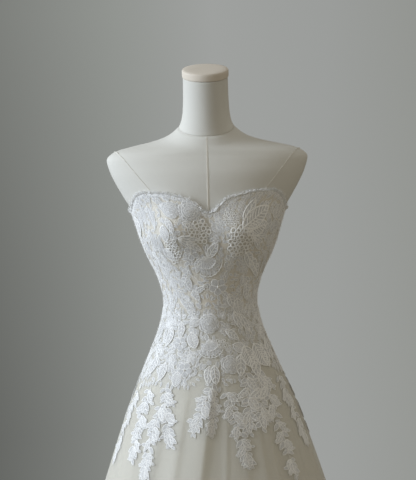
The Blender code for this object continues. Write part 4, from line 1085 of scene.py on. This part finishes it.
def fillRows(seed, low, high, zLow, zHigh, fieldAt, discs, density=1.0):
    rows = []
    places, pick = scatter(seed, 0.026 / density, low, high, zLow, zHigh, fieldAt, 0.006, discs)
    for a, z in places:
        heading = float(flowHeading(a, z)) + pick.uniform(-25, 25)
        size = pick.uniform(0.034, 0.042)
        kind = ("sprigA", "sprigB", "sprigC", "sprigD")[pick.integers(4)]
        if all(tipInside(fieldAt, a, z + size * 0.4, heading, size * t) for t in (0.3, 0.6, 0.85)):
            rows.append((kind, a, z + size * 0.4, heading, size))
    places, pick = scatter(seed + 1, 0.0100 / density, low, high, zLow, zHigh, fieldAt, 0.0025, discs)
    for a, z in places:
        heading = float(flowHeading(a, z)) + pick.uniform(-50, 50)
        kind = pick.choice(["leafSmall", "leafSmall", "leafSmall", "blossomSmall", "curl"])
        size = {"leafSmall": pick.uniform(0.011, 0.017), "blossomSmall": pick.uniform(0.0045, 0.0065), "curl": pick.uniform(0.006, 0.009)}[str(kind)]
        if tipInside(fieldAt, a, z, heading, size * 0.9):
            rows.append((str(kind), a, z, heading, size))
    return rows


def edgeRows(seed, fieldAt, low, high, zLow, zHigh):
    pick = np.random.default_rng(seed)
    rows = []
    step = 0.0016
    zs = np.arange(zLow, zHigh, step)
    angles = np.arange(low, high, 0.6)
    grid = fieldAt(*np.meshgrid(angles, zs, indexing="ij"))
    gradA, gradZ = np.gradient(grid, np.radians(0.6), step)
    close = np.argwhere(np.abs(grid - 0.0045) < 0.0012)
    pick.shuffle(close)
    kept = []
    for i, j in close:
        a, z = angles[i], zs[j]
        radius = float(formHalf(z) if z > waistZ else skirtHalf(z))
        if any(abs(z - z0) < 0.009 and math.hypot(math.radians(a - a0) * radius, z - z0) < 0.0088 for a0, z0 in kept):
            continue
        kept.append((a, z))
        heading = math.degrees(math.atan2(-gradA[i, j] / radius, gradZ[i, j]))
        rows.append(("leafSmall", a, z, heading + pick.uniform(-28, 28), pick.uniform(0.009, 0.013)))
    return rows


# Small leaves along both edges of the zip
def zipEdgeRows(seed, low, high, zLow, zHigh):
    pick = np.random.default_rng(seed)
    side = 1 if high > 0 else -1
    rows = []
    for z in np.arange(zLow + 0.010, min(zHigh, float(necklineAt(180.0))) - 0.002, 0.0075):
        radius = float(formHalf(z) if z > waistZ else skirtHalf(z))
        away = math.degrees(pick.uniform(0.0042, 0.0060) / radius)
        rows.append(("leafSmall", side * (zipClear - away), z, side * pick.uniform(-14, 4), pick.uniform(0.0095, 0.0125)))
    return rows


# Scallops that stand up to the neckline
def necklineRows(seed, low, high):
    pick = np.random.default_rng(seed)
    rows = []
    for k, a in enumerate(np.arange(low + 0.8, high, 1.5)):
        top = float(necklineAt(abs(a)))
        size = pick.uniform(0.0085, 0.0120)
        rows.append(("leafSmall", a, top - size * 0.86, 180.0 + pick.uniform(-46, 46), size))
        if k % 3 == 0:
            rows.append(("blossomSmall", a, top - 0.0040, pick.uniform(0, 60), pick.uniform(0.0042, 0.0058)))
        if k % 3 == 1:
            rows.append(("ring", a, top - 0.0016, 0, pick.uniform(0.0020, 0.0030)))
    return rows


def ringRows(clusters, low, high):
    pick = np.random.default_rng(77)
    rows = []
    for angle, z, halfWide, halfHigh, size in clusters:
        if not low <= angle < high:
            continue
        radius = float(formHalf(z) if z > waistZ else skirtHalf(z))
        step = size * 1.72
        for r, dz in enumerate(np.arange(-halfHigh, halfHigh, step * 0.87)):
            for dx in np.arange(-halfWide + (r % 2) * step / 2, halfWide, step):
                if (dx / halfWide) ** 2 + (dz / halfHigh) ** 2 > 1:
                    continue
                a = angle + math.degrees((dx + pick.uniform(-0.34, 0.34) * size) / radius)
                h = z + dz + pick.uniform(-0.34, 0.34) * size
                rows.append(("ring", a, h, pick.uniform(0, 60), size * pick.uniform(0.75, 1.2)))
                if pick.uniform() < 0.4:
                    rows.append(("bead", a, h, 0, 0.00075))
    return rows


def beadRows(seed, low, high, zLow, zHigh, fieldAt, spacing):
    places, pick = scatter(seed, spacing, low, high, zLow, zHigh, fieldAt, 0.002, [])
    keep = pick.uniform(size=len(places)) < 0.55
    return [("bead", a, z, 0, s) for (a, z), s in zip(places[keep], pick.uniform(0.0005, 0.0008, keep.sum()))]


def sprayRows(rows, mirror=1):
    pick = np.random.default_rng(55)
    placed = []
    for row in rows:
        path = sprayPath(row)
        for k, (a, z, heading, size) in enumerate(sprayLeaves(row)):
            kind = ("leaf", "leafBent", "leafWide", "leafBentBack")[k % 4]
            placed.append((kind, a, z, heading, size * 0.92))
            turn = math.radians(heading)
            radius = float(skirtHalf(z))
            for t, aside, share in ((0.22, 50, 0.52), (0.48, -48, 0.54), (0.72, 42, 0.42)):
                at = a + math.degrees(size * t * math.sin(turn) / radius)
                placed.append(("leafSmall", at, z - size * t * math.cos(turn), heading + aside, size * share))
        for k in range(1, len(path) - 1):
            a, z, heading = path[k]
            side = 1 if k % 2 else -1
            placed.append(("leafSmall", a, z, heading + side * 50, row[6] * pick.uniform(0.50, 0.66)))
            placed.append(("leafSmall", a, z, heading - side * 66, row[6] * pick.uniform(0.42, 0.56)))
            placed.append(("curl", a, z, heading + side * 20, row[6] * 0.22))
            if k % 3 == 0:
                placed.append(("blossomSmall", a, z, heading, pick.uniform(0.0060, 0.0085)))
            placed.append(("bead", a, z, heading, 0.0008))
        a, z, heading = path[-1]
        placed.append(("blossomSmall", a, z, heading, 0.006))
    return [(k, mirror * a, z, mirror * h, s) for k, a, z, h, s in placed]


def netPiece(name, fieldAt, low, high, zLow, zHigh, step=0.0040):
    radius = 0.5 * (float(formHalf(zHigh)) + float(formHalf(zLow))) if zLow >= waistZ else 0.165
    angles = np.linspace(low, high, int(math.radians(high - low) * radius / step) + 1)
    zs = np.linspace(zLow, zHigh, int((zHigh - zLow) / step) + 1)
    ga, gz = np.meshgrid(angles, zs, indexing="ij")
    field = fieldAt(ga, gz)
    inside = field > 0
    cells = inside[:-1, :-1] | inside[1:, :-1] | inside[:-1, 1:] | inside[1:, 1:]
    slopeA, slopeZ = np.gradient(field, np.radians(angles[1] - angles[0]) * radius, zs[1] - zs[0])
    steep = np.maximum(slopeA**2 + slopeZ**2, 0.3)
    shift = np.where(inside, 0.0, np.clip(-field, 0, step * 1.2) / steep)
    ga = np.clip(ga + np.degrees(shift * slopeA / radius), low, high)
    gz = np.clip(gz + shift * slopeZ, zLow, zHigh)
    x, y, z = gownPoint(ga.ravel(), gz.ravel(), np.full(ga.size, -0.0004))
    quads = gridQuads(len(angles), len(zs))[cells.ravel()][:, ::-1]
    used, index = np.unique(quads, return_inverse=True)
    verts = np.stack([x, y, z], -1)[used]
    uv = np.stack([np.radians(ga.ravel()) * radius, gz.ravel()], -1)[used]
    return addPiece(name, verts, index.reshape(-1, 4), [laceNet], uv=uv)


def pieceArea(piece):
    return sum(face.area for face in piece.data.polygons)


def finishPiece(piece, nodes=()):
    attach(piece, mainBody)
    if nodes:
        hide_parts(*nodes)
    return piece


# Lace: relief, net and beads of each panel
lacePanels = (
    ("bodice_lace_front", "bodice", -90.0, 90.0, waistZ - 0.003, 1.318, bodiceLaceField, 100),
    ("bodice_lace_back_left", "bodice", 90.0, 177.4, waistZ - 0.003, 1.300, bodiceLaceField, 200),
    ("bodice_lace_back_right", "bodice", -177.4, -90.0, waistZ - 0.003, 1.300, bodiceLaceField, 300),
    ("skirt_lace_front", "skirt", -90.0, 90.0, 0.690, waistZ + 0.002, skirtLaceField, 400),
    ("skirt_lace_back_left", "skirt", 90.0, 177.4, 0.720, waistZ + 0.002, skirtLaceField, 500),
    ("skirt_lace_back_right", "skirt", -177.4, -90.0, 0.720, waistZ + 0.002, skirtLaceField, 600),
)
allMotifs = list(motifsFront) + list(motifsBack) + [(k, -a, z, -h, s) for k, a, z, h, s in motifsBack]
for name, part, low, high, zLow, zHigh, fieldAt, seed in lacePanels:
    onBodice = part == "bodice"
    rows = [m for m in allMotifs if low <= m[1] < high and (m[2] >= waistZ) == onBodice]
    clusters = [c for c in ringClusters if (c[1] >= waistZ) == onBodice]
    discs = motifDiscs(rows, clusters)
    fill = fillRows(seed, low, high, zLow, zHigh, fieldAt, discs)
    fill += edgeRows(seed + 5, fieldAt, low, high, zLow, zHigh)
    if onBodice:
        fill += necklineRows(seed + 7, low, high)
    if "back" in name:
        fill += zipEdgeRows(seed + 11, low, high, max(zLow, 0.925), zHigh)
    rings = ringRows(clusters, low, high)
    sprays = []
    if name == "skirt_lace_front":
        sprays = sprayRows(spraysFront)
    elif name == "skirt_lace_back_left":
        sprays = sprayRows(spraysBack)
    elif name == "skirt_lace_back_right":
        sprays = sprayRows(spraysBack, -1)
    small = layStamps(fill)
    big = layStamps(rows + sprays + rings, 0.0006)
    shift = len(small[0])
    verts = np.vstack([small[0], big[0]])
    quads = np.vstack([small[1], big[1] + shift])
    relief = addPiece(
        name + ".relief", verts, quads, [laceShadedCloth, laceCord, pearlBead],
        np.concatenate([small[3], big[3]]), np.vstack([small[2], big[2]]),
    )
    beads = layStamps(beadRows(seed + 9, low, high, zLow, zHigh, fieldAt, 0.011), 0.0022)
    beadPiece = addPiece(name + ".beads", beads[0], beads[1], [laceShadedCloth, laceCord, pearlBead], beads[3])
    net = netPiece(name + ".net", fieldAt, low, high, zLow, zHigh)
    finishPiece(relief, [name])
    finishPiece(beadPiece)
    finishPiece(net, [name])
    area = pieceArea(net)
    width = math.radians(high - low) * (0.125 if onBodice else 0.150)
    length = zHigh - zLow
    share = min(max(area / (width * length), 0.31), 1.0)
    print(name, "quads", len(quads), "beads", len(beads[1]), "net", len(net.data.polygons), "area", round(area, 4))
print("lace made")


# Bodice satin, by panels with seams between
def panelShell(name, angles, heights, surface, wall, material, **extra):
    outer = np.stack([np.array(surface(a, z, 0.0)) for a, z in zip(angles, heights)]).transpose(0, 2, 1)
    inner = np.stack([np.array(surface(a, z, -wall)) for a, z in zip(angles, heights)]).transpose(0, 2, 1)
    return shellPiece(name, outer, inner, [material], **extra)


bodiceSizes = {"rows": 40, "columns": 32, "seam": 0.00015, "height": 0.22, "zip": 0.0029}
bodicePanels = (
    ("bodice_centre_front", lambda s: -princessAt(s), lambda s: princessAt(s)),
    ("bodice_side_front_left", lambda s: princessAt(s), lambda s: 90.0),
    ("bodice_side_front_right", lambda s: -90.0, lambda s: -princessAt(s)),
    ("bodice_back_left", lambda s: 90.0, lambda s: 180.0),
    ("bodice_back_right", lambda s: -180.0, lambda s: -90.0),
)
for name, left, right in bodicePanels:
    angles, heights = [], []
    for share in np.linspace(0, 1, bodiceSizes["rows"] + 1):
        middle = waistZ + share * bodiceSizes["height"]
        gaps = [bodiceSizes["zip"] if abs(float(edge(share))) == 180.0 else bodiceSizes["seam"] for edge in (left, right)]
        start = float(left(share)) + math.degrees(gaps[0] / float(formHalf(middle)))
        stop = float(right(share)) - math.degrees(gaps[1] / float(formHalf(middle)))
        row = np.linspace(start, stop, bodiceSizes["columns"] + 1)
        angles.append(row)
        heights.append(waistZ + share * (necklineAt(np.abs(row)) - waistZ))
    panel = panelShell(name + ".satin", angles, heights, bodicePoint, bodiceWall, bodiceSatin)
    finishPiece(panel, [name])
    span = float(right(0.5)) - float(left(0.5))
    width = math.radians(abs(span)) * 0.145
    length = 0.262

# Skirt satin and tulle
skirtPanels = (("front", -90.0, 90.0), ("back_left", 90.0, 180.0), ("back_right", -180.0, -90.0))
skirtSizes = {"satinStep": 2.0, "tulleStep": 0.75, "satinThick": 0.0006, "tulleThick": 0.0003, "zipFrom": 0.955}


def skirtPanelGrid(low, high, hem, step, rowsCount):
    zs = np.concatenate([np.linspace(hem, 0.62, rowsCount // 2), np.linspace(0.62, skirtTopZ, rowsCount // 2 + 1)[1:]])
    angles, heights = [], []
    for z in zs:
        row = np.linspace(low, high, int((high - low) / step) + 1)
        atBack = bodiceSizes["zip"] if z >= skirtSizes["zipFrom"] else bodiceSizes["seam"]
        row[0] = low + math.degrees((atBack if low == -180.0 else bodiceSizes["seam"]) / float(skirtHalf(z)))
        row[-1] = high - math.degrees((atBack if high == 180.0 else bodiceSizes["seam"]) / float(skirtHalf(z)))
        angles.append(row)
        heights.append(np.full(len(row), z))
    return angles, heights


for word, low, high in skirtPanels:
    angles, heights = skirtPanelGrid(low, high, satinHemZ, skirtSizes["satinStep"], 44)
    face = -(tulleWall + tulleGap)
    satin = panelShell(
        "skirt_satin_" + word + ".cloth", angles, heights,
        lambda a, z, out: skirtPoint(a, z, face + out, 0.0, 0.12), skirtSizes["satinThick"], skirtSatin,
    )
    finishPiece(satin, ["skirt_satin_" + word])
    area = pieceArea(satin) / 2
    width = math.radians(high - low) * 0.46
    angles, heights = skirtPanelGrid(low, high, tulleHemZ, skirtSizes["tulleStep"], 72)
    uv = np.stack([np.stack([np.radians(a) * skirtHalf(z), z * 1.06], -1) for a, z in zip(angles, heights)])
    tulle = panelShell(
        "skirt_tulle_" + word + ".cloth", angles, heights,
        lambda a, z, out: skirtPoint(a, z, out, 1.0, 1.0), skirtSizes["tulleThick"], softTulle, uv=uv,
    )
    finishPiece(tulle, ["skirt_tulle_" + word])
    area = pieceArea(tulle) / 2
    print("skirt", word, round(area, 3), len(tulle.data.polygons))
print("cloth made")


# Form: torso, arm plates, neck and cap
formSizes = {"columns": 150, "rows": 120, "seam": 0.0010}
zs = formBottomZ + (1.4370 - formBottomZ) * np.linspace(0, 1, formSizes["rows"] + 1) ** 0.9
angles = -180.0 + 360.0 / formSizes["columns"] * np.arange(formSizes["columns"])
rings = np.stack([np.array(formPoint(angles, np.full(len(angles), z))) for z in zs]).transpose(0, 2, 1)
quads = gridQuads(len(zs), len(angles), True)
faces = quads.tolist() + [list(range(len(angles)))[::-1], list(range((len(zs) - 1) * len(angles), len(zs) * len(angles)))]
torso = addPiece("dress_form_torso.jersey", rings.reshape(-1, 3), faces, [jerseyCloth])
finishPiece(torso, ["dress_form_torso", "dress_form_arm_plate_left", "dress_form_arm_plate_right"])


# A seam line of the form as points on its surface
def seamPiece(name, points, outward, radius, material, flat=0.6, closed=False):
    verts, quads, uv = sweep(points, radius, 6, closed=closed, flat=flat, up=outward)
    return finishPiece(addPiece(name, verts, quads, [material], uv=uv))


# Seam round each arm plate: angle, height, one side
plateSeam = (
    (92.5, 1.389), (78.0, 1.390), (66.0, 1.386), (55.0, 1.377), (49.5, 1.363), (45.0, 1.346), (41.5, 1.330),
    (38.5, 1.315), (38.0, 1.298), (42.0, 1.278), (52.0, 1.258), (68.0, 1.245), (88.0, 1.240), (108.0, 1.247),
    (124.0, 1.262), (135.0, 1.285), (139.0, 1.312), (136.0, 1.340), (128.0, 1.364), (112.0, 1.382),
)
knots = np.array(plateSeam)
for side, word in ((-1, "right"), (1, "left")):
    path = []
    for k in range(len(knots)):
        a, b, c, d = (knots[(k + step) % len(knots)] for step in (-1, 0, 1, 2))
        for t in (0.0, 0.25, 0.5, 0.75):
            path.append(0.5 * (2 * b + (c - a) * t + (2 * a - 5 * b + 4 * c - d) * t * t + (3 * b - a - 3 * c + d) * t**3))
    path = np.array(path)
    points = np.array(formPoint(side * path[:, 0], path[:, 1], 0.0)).T
    outward = np.array(formPoint(side * path[:, 0], path[:, 1], 0.01)).T - points
    seamPiece("arm_plate_seam_" + word, points, outward, formSizes["seam"], tapeCloth, closed=True)

# Centre front and back tapes, pressed flat, wider towards the bust
for word, angle in (("front", 0.0), ("back", 180.0)):
    zs = np.linspace(1.20, 1.4365, 60)
    half = np.interp(zs, (1.25, 1.43), (0.0029, 0.0016))
    strips = [np.array(formPoint(angle + np.degrees(side * half / formHalf(zs)), zs, 0.00018)).T for side in (-1.0, 0.0, 1.0)]
    strip = np.stack(strips).transpose(1, 0, 2)
    outward = np.array(formPoint(np.full(60, angle), zs, 0.0005)).T - np.array(formPoint(np.full(60, angle), zs, 0.0)).T
    finishPiece(shellPiece("centre_tape_" + word, strip, strip - outward[:, None, :], [tapeCloth]))
    for k, line in enumerate((strips[0], strips[2])):
        seamPiece("tape_stitch_" + word + "_" + str(k), line, outward, 0.00028, tapeCloth)

# Neck
neckAngles = np.radians(np.arange(0, 360, 3.0))
neckZ = np.linspace(1.4374, 1.5400, 60)
rings = np.stack([
    np.stack([neckHalf(z) * np.cos(neckAngles), neckCentre(z) + neckDepth(z) * np.sin(neckAngles), z + neckSlope(z) * neckDepth(z) * np.sin(neckAngles)], -1)
    for z in neckZ
])
count = len(neckAngles)
faces = gridQuads(len(neckZ), count, True).tolist() + [list(range(count))[::-1], list(range((len(neckZ) - 1) * count, len(neckZ) * count))]
neck = addPiece("dress_form_neck.jersey", rings.reshape(-1, 3), faces, [jerseyCloth])
finishPiece(neck, ["dress_form_neck"])
base = rings[0] + np.array([0.0, 0.0, -0.0003])
seamPiece("neck_seam", base * np.array([1.004, 1.004, 1.0]), np.stack([np.cos(neckAngles), np.sin(neckAngles), np.zeros(count)], -1), 0.0006, tapeCloth, closed=True)

# Cap: turned disc with a soft rolled rim
capSizes = {"columns": 120, "profile": (
    (0.0430, 0.0004), (0.0462, 0.0008), (0.0472, 0.0018), (0.0475, 0.0040), (0.0475, 0.0085), (0.0475, 0.0130),
    (0.0472, 0.0144), (0.0464, 0.0156), (0.0450, 0.0165), (0.0430, 0.0171), (0.0330, 0.0177), (0.0220, 0.0180), (0.0100, 0.0181),
)}
tilt = math.atan(neckSections[-1][4])
place = Matrix.Translation((0.0, neckSections[-1][3], neckSections[-1][0])) @ Matrix.Rotation(tilt, 4, "X")
turn = np.radians(np.arange(0, 360, 3.0))
rings = []
for radius, height in capSizes["profile"]:
    rings.append([place @ Vector((radius * math.cos(t), radius * math.sin(t), height)) for t in turn])
verts = np.array([[tuple(p) for p in ring] for ring in rings]).reshape(-1, 3)
count = len(turn)
n = len(rings)
faces = gridQuads(n, count, True).tolist() + [list(range(count))[::-1], list(range((n - 1) * count, n * count))]
cap = addPiece("dress_form_cap.cloth", verts, faces, [capCloth])
finishPiece(cap, ["dress_form_cap"])
capRim = np.array([tuple(place @ Vector((0.0459 * math.cos(t), 0.0459 * math.sin(t), 0.0159))) for t in turn])
seamPiece("cap_rim_piping", capRim, np.tile(np.array(place.to_3x3() @ Vector((0, 0, 1))), (count, 1)), 0.0006, capCloth, closed=True)

# Stand
for name in ("stand_base", "stand_pole"):
    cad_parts[name].data.materials.clear()
    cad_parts[name].data.materials.append(standSteel)
for name in ("zip_slider", "zip_pull_tab"):
    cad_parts[name].data.materials.clear()
    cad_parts[name].data.materials.append(zipMetal)
print("form and stand made")


# Zip chain: woven tape with two rows of coil loops that mesh at the centre back
zipSizes = {"low": 0.9570, "half": 0.0025, "sunk": 0.0002, "wall": 0.0012, "pitch": 0.0013, "loop": 0.00115, "wire": 0.00026}


def zipFace(z, out):
    onBodice = bodicePoint(np.full(np.shape(z), 180.0), z, out)[1]
    onSkirt = skirtPoint(np.full(np.shape(z), 180.0), z, out - tulleWall - tulleGap, 0.0, 0.0)[1]
    return np.where(z >= waistZ, onBodice, onSkirt)


def zipChain():
    top = float(necklineAt(180.0)) - 0.0010
    zs = np.linspace(zipSizes["low"], top, 160)
    sides = np.array([1.0, -1.0]) * zipSizes["half"]
    walls = []
    for depth in (zipSizes["sunk"] + 0.0005, zipSizes["sunk"] + zipSizes["wall"]):
        y = zipFace(zs, -depth)
        walls.append(np.stack([np.tile(sides, (len(zs), 1)), np.repeat(y[:, None], 2, 1), np.repeat(zs[:, None], 2, 1)], -1))
    tape = shellPiece("zip_tape", walls[0], walls[1], [tapeCloth])
    finishPiece(tape, ["zip_chain"])
    turn = np.radians(np.arange(-150.0, 151.0, 50.0))
    loop = zipSizes["loop"]
    verts, quads = [], []
    for row, side in enumerate((-1.0, 1.0)):
        for k, z in enumerate(np.arange(zipSizes["low"] + 0.0008, top - 0.0008, zipSizes["pitch"])):
            z = z + row * zipSizes["pitch"] / 2
            x = side * (0.00085 - loop * np.cos(turn))
            y = float(zipFace(np.array(z), -zipSizes["sunk"] - 0.0003)) + 0.00022 * np.sin(turn)
            path = np.stack([x, y, z + 0.00032 * np.sin(turn)], -1)
            v, q, _ = sweep(path, zipSizes["wire"], 4, up=np.tile((0.0, 1.0, 0.0), (len(path), 1)))
            quads.append(q + len(verts) * len(v))
            verts.append(v)
    teeth = addPiece("zip_coil", np.vstack(verts), np.vstack(quads), [zipNylon])
    finishPiece(teeth, ["zip_chain"])


zipChain()


# Neckline: corded edge and short lashes
def necklineEdge():
    rows = []
    angles = np.concatenate([np.arange(-177.0, 177.1, 1.2)])
    z = necklineAt(np.abs(angles))
    line = np.array(bodicePoint(angles, z + 0.0002, 0.0006)).T
    outward = np.array(bodicePoint(angles, z, 0.01)).T - np.array(bodicePoint(angles, z, 0.0)).T
    verts, quads, uv = sweep(line, 0.0004, 5, up=outward)
    allVerts, allQuads, allUv = [verts], [quads], [uv]
    shift = len(verts)
    pick = np.random.default_rng(11)
    for a in np.arange(-176.5, 176.5, 0.24):
        lean = pick.uniform(-2.6, 2.6)
        high = pick.uniform(0.0020, 0.0078)
        t = np.linspace(0, 1, 3)
        top = float(necklineAt(abs(a)))
        points = np.array(bodicePoint(a + lean * t * t, top - 0.001 + high * t, 0.0014 + pick.uniform(0.0, 0.0034) * t)).T
        v, q, w = sweep(points, 0.00036 * np.array([1.2, 1, 0.4]), 3, up=np.tile(outward[0], (3, 1)))
        allVerts.append(v)
        allQuads.append(q + shift)
        allUv.append(w)
        shift += len(v)
    piece = addPiece("neckline_edge", np.vstack(allVerts), np.vstack(allQuads), [laceCord], uv=np.vstack(allUv))
    finishPiece(piece)


necklineEdge()

# Floor
bpy.ops.mesh.primitive_circle_add(vertices=128, radius=1.5, fill_type="NGON", location=(0, 0, -0.0005))
floor = bpy.context.object
floor.name = "floor"
floorMaterial, tree = startMaterial("floor")
place = addNode(tree, "ShaderNodeTexCoord")
reach = addNode(tree, "ShaderNodeVectorMath", {0: place.outputs["Object"]}, operation="LENGTH")
fade = addNode(tree, "ShaderNodeMapRange", {"Value": reach.outputs["Value"], "From Min": 0.75, "From Max": 1.48}, interpolation_type="SMOOTHSTEP")
paint = addNode(tree, "ShaderNodeBsdfPrincipled", {"Base Color": linear("#a6a6a3"), "Roughness": 0.8})
clear = addNode(tree, "ShaderNodeBsdfTransparent")
blend = addNode(tree, "ShaderNodeMixShader", {0: fade.outputs[0], 1: paint.outputs[0], 2: clear.outputs[0]})
endMaterial(tree, blend.outputs[0])
floor.data.materials.append(floorMaterial)

# Camera at the photo's angle
cameraSizes = {"lens": 95.1, "pitch": 9.0, "roll": 1.3, "place": (-0.002, -2.62, 1.6159)}
cameraData = bpy.data.cameras.new("camera")
cameraData.lens = cameraSizes["lens"]
cameraData.sensor_width = 36.0
camera = bpy.data.objects.new("camera", cameraData)
bpy.context.scene.collection.objects.link(camera)
look = Matrix.Rotation(math.radians(90 - cameraSizes["pitch"]), 4, "X") @ Matrix.Rotation(math.radians(-cameraSizes["roll"]), 4, "Z")
camera.matrix_world = Matrix.Translation(cameraSizes["place"]) @ look
bpy.context.scene.camera = camera

# Light: broad cool key from the left, weak warm fill from the right
lights = (
    ("key", (-2.50, -0.66, 2.00), (0.0, 0.0, 1.22), 1.4, 2.2, 91.0, (0.855, 0.925, 1.0)),
    ("fill", (1.9, -1.6, 1.3), (0.0, 0.0, 1.1), 1.4, 1.4, 6.0, (1.0, 0.86, 0.66)),
)
for name, place, target, wide, high, power, colour in lights:
    lamp = bpy.data.lights.new(name, "AREA")
    lamp.shape = "RECTANGLE"
    lamp.size = wide
    lamp.size_y = high
    lamp.energy = power
    lamp.color = colour
    holder = bpy.data.objects.new(name, lamp)
    bpy.context.scene.collection.objects.link(holder)
    holder.location = place
    holder.rotation_euler = (Vector(target) - Vector(place)).to_track_quat("-Z", "Y").to_euler()

world = bpy.data.worlds.new("studio")
bpy.context.scene.world = world
world.use_nodes = True
tree = world.node_tree
tree.nodes.clear()
# The backdrop that the camera sees has painted light: the ramp is darker at the left and its strength drops towards the
# left and lower down, a painted shade and a painted pool of light on the wall
direction = addNode(tree, "ShaderNodeTexCoord").outputs["Generated"]
split = addNode(tree, "ShaderNodeSeparateXYZ", {0: direction})
across = addNode(tree, "ShaderNodeMapRange", {"Value": split.outputs[0], "From Min": -0.17, "From Max": 0.17})
ramp = addNode(tree, "ShaderNodeValToRGB", {"Fac": across.outputs[0]})
stops = ((0.0, "#7b7d79"), (0.30, "#929591"), (0.52, "#9fa19f"), (0.78, "#9b9d9b"), (1.0, "#939591"))
for k, (at, colour) in enumerate(stops):
    stop = ramp.color_ramp.elements[k] if k < 2 else ramp.color_ramp.elements.new(at)
    stop.position = at
for k, (at, colour) in enumerate(stops):
    ramp.color_ramp.elements[k].position = at
    ramp.color_ramp.elements[k].color = linear(colour)
lower = addNode(tree, "ShaderNodeMapRange", {"Value": split.outputs[2], "From Min": -0.30, "From Max": 0.02, "To Min": 1.0, "To Max": 0.0})
leftward = addNode(tree, "ShaderNodeMapRange", {"Value": across.outputs[0], "From Min": 0.0, "From Max": 0.62, "To Min": 0.34, "To Max": -0.04})
dim = addNode(tree, "ShaderNodeMath", {0: lower.outputs[0], 1: leftward.outputs[0]}, operation="MULTIPLY")
bright = addNode(tree, "ShaderNodeMath", {0: 1.0, 1: dim.outputs[0]}, operation="SUBTRACT")
paintedBackdrop = addNode(tree, "ShaderNodeBackground", {"Color": ramp.outputs[0], "Strength": bright.outputs[0]})
height = addNode(tree, "ShaderNodeMapRange", {"Value": split.outputs[2], "From Min": -0.5, "From Max": 1.0})
around = mixColours(tree, height.outputs[0], (0.090, 0.075, 0.045, 1.0), (0.470, 0.450, 0.400, 1.0))
soft = addNode(tree, "ShaderNodeBackground", {"Color": around, "Strength": 1.0})
path = addNode(tree, "ShaderNodeLightPath")
mixed = addNode(tree, "ShaderNodeMixShader", {0: path.outputs["Is Camera Ray"], 1: soft.outputs[0], 2: paintedBackdrop.outputs[0]})
addNode(tree, "ShaderNodeOutputWorld", {"Surface": mixed.outputs[0]})

scene = bpy.context.scene
scene.view_settings.view_transform = "Standard"
scene.view_settings.look = "None"
scene.cycles.transparent_max_bounces = 24
scene.cycles.diffuse_bounces = 8
print("light and camera set")
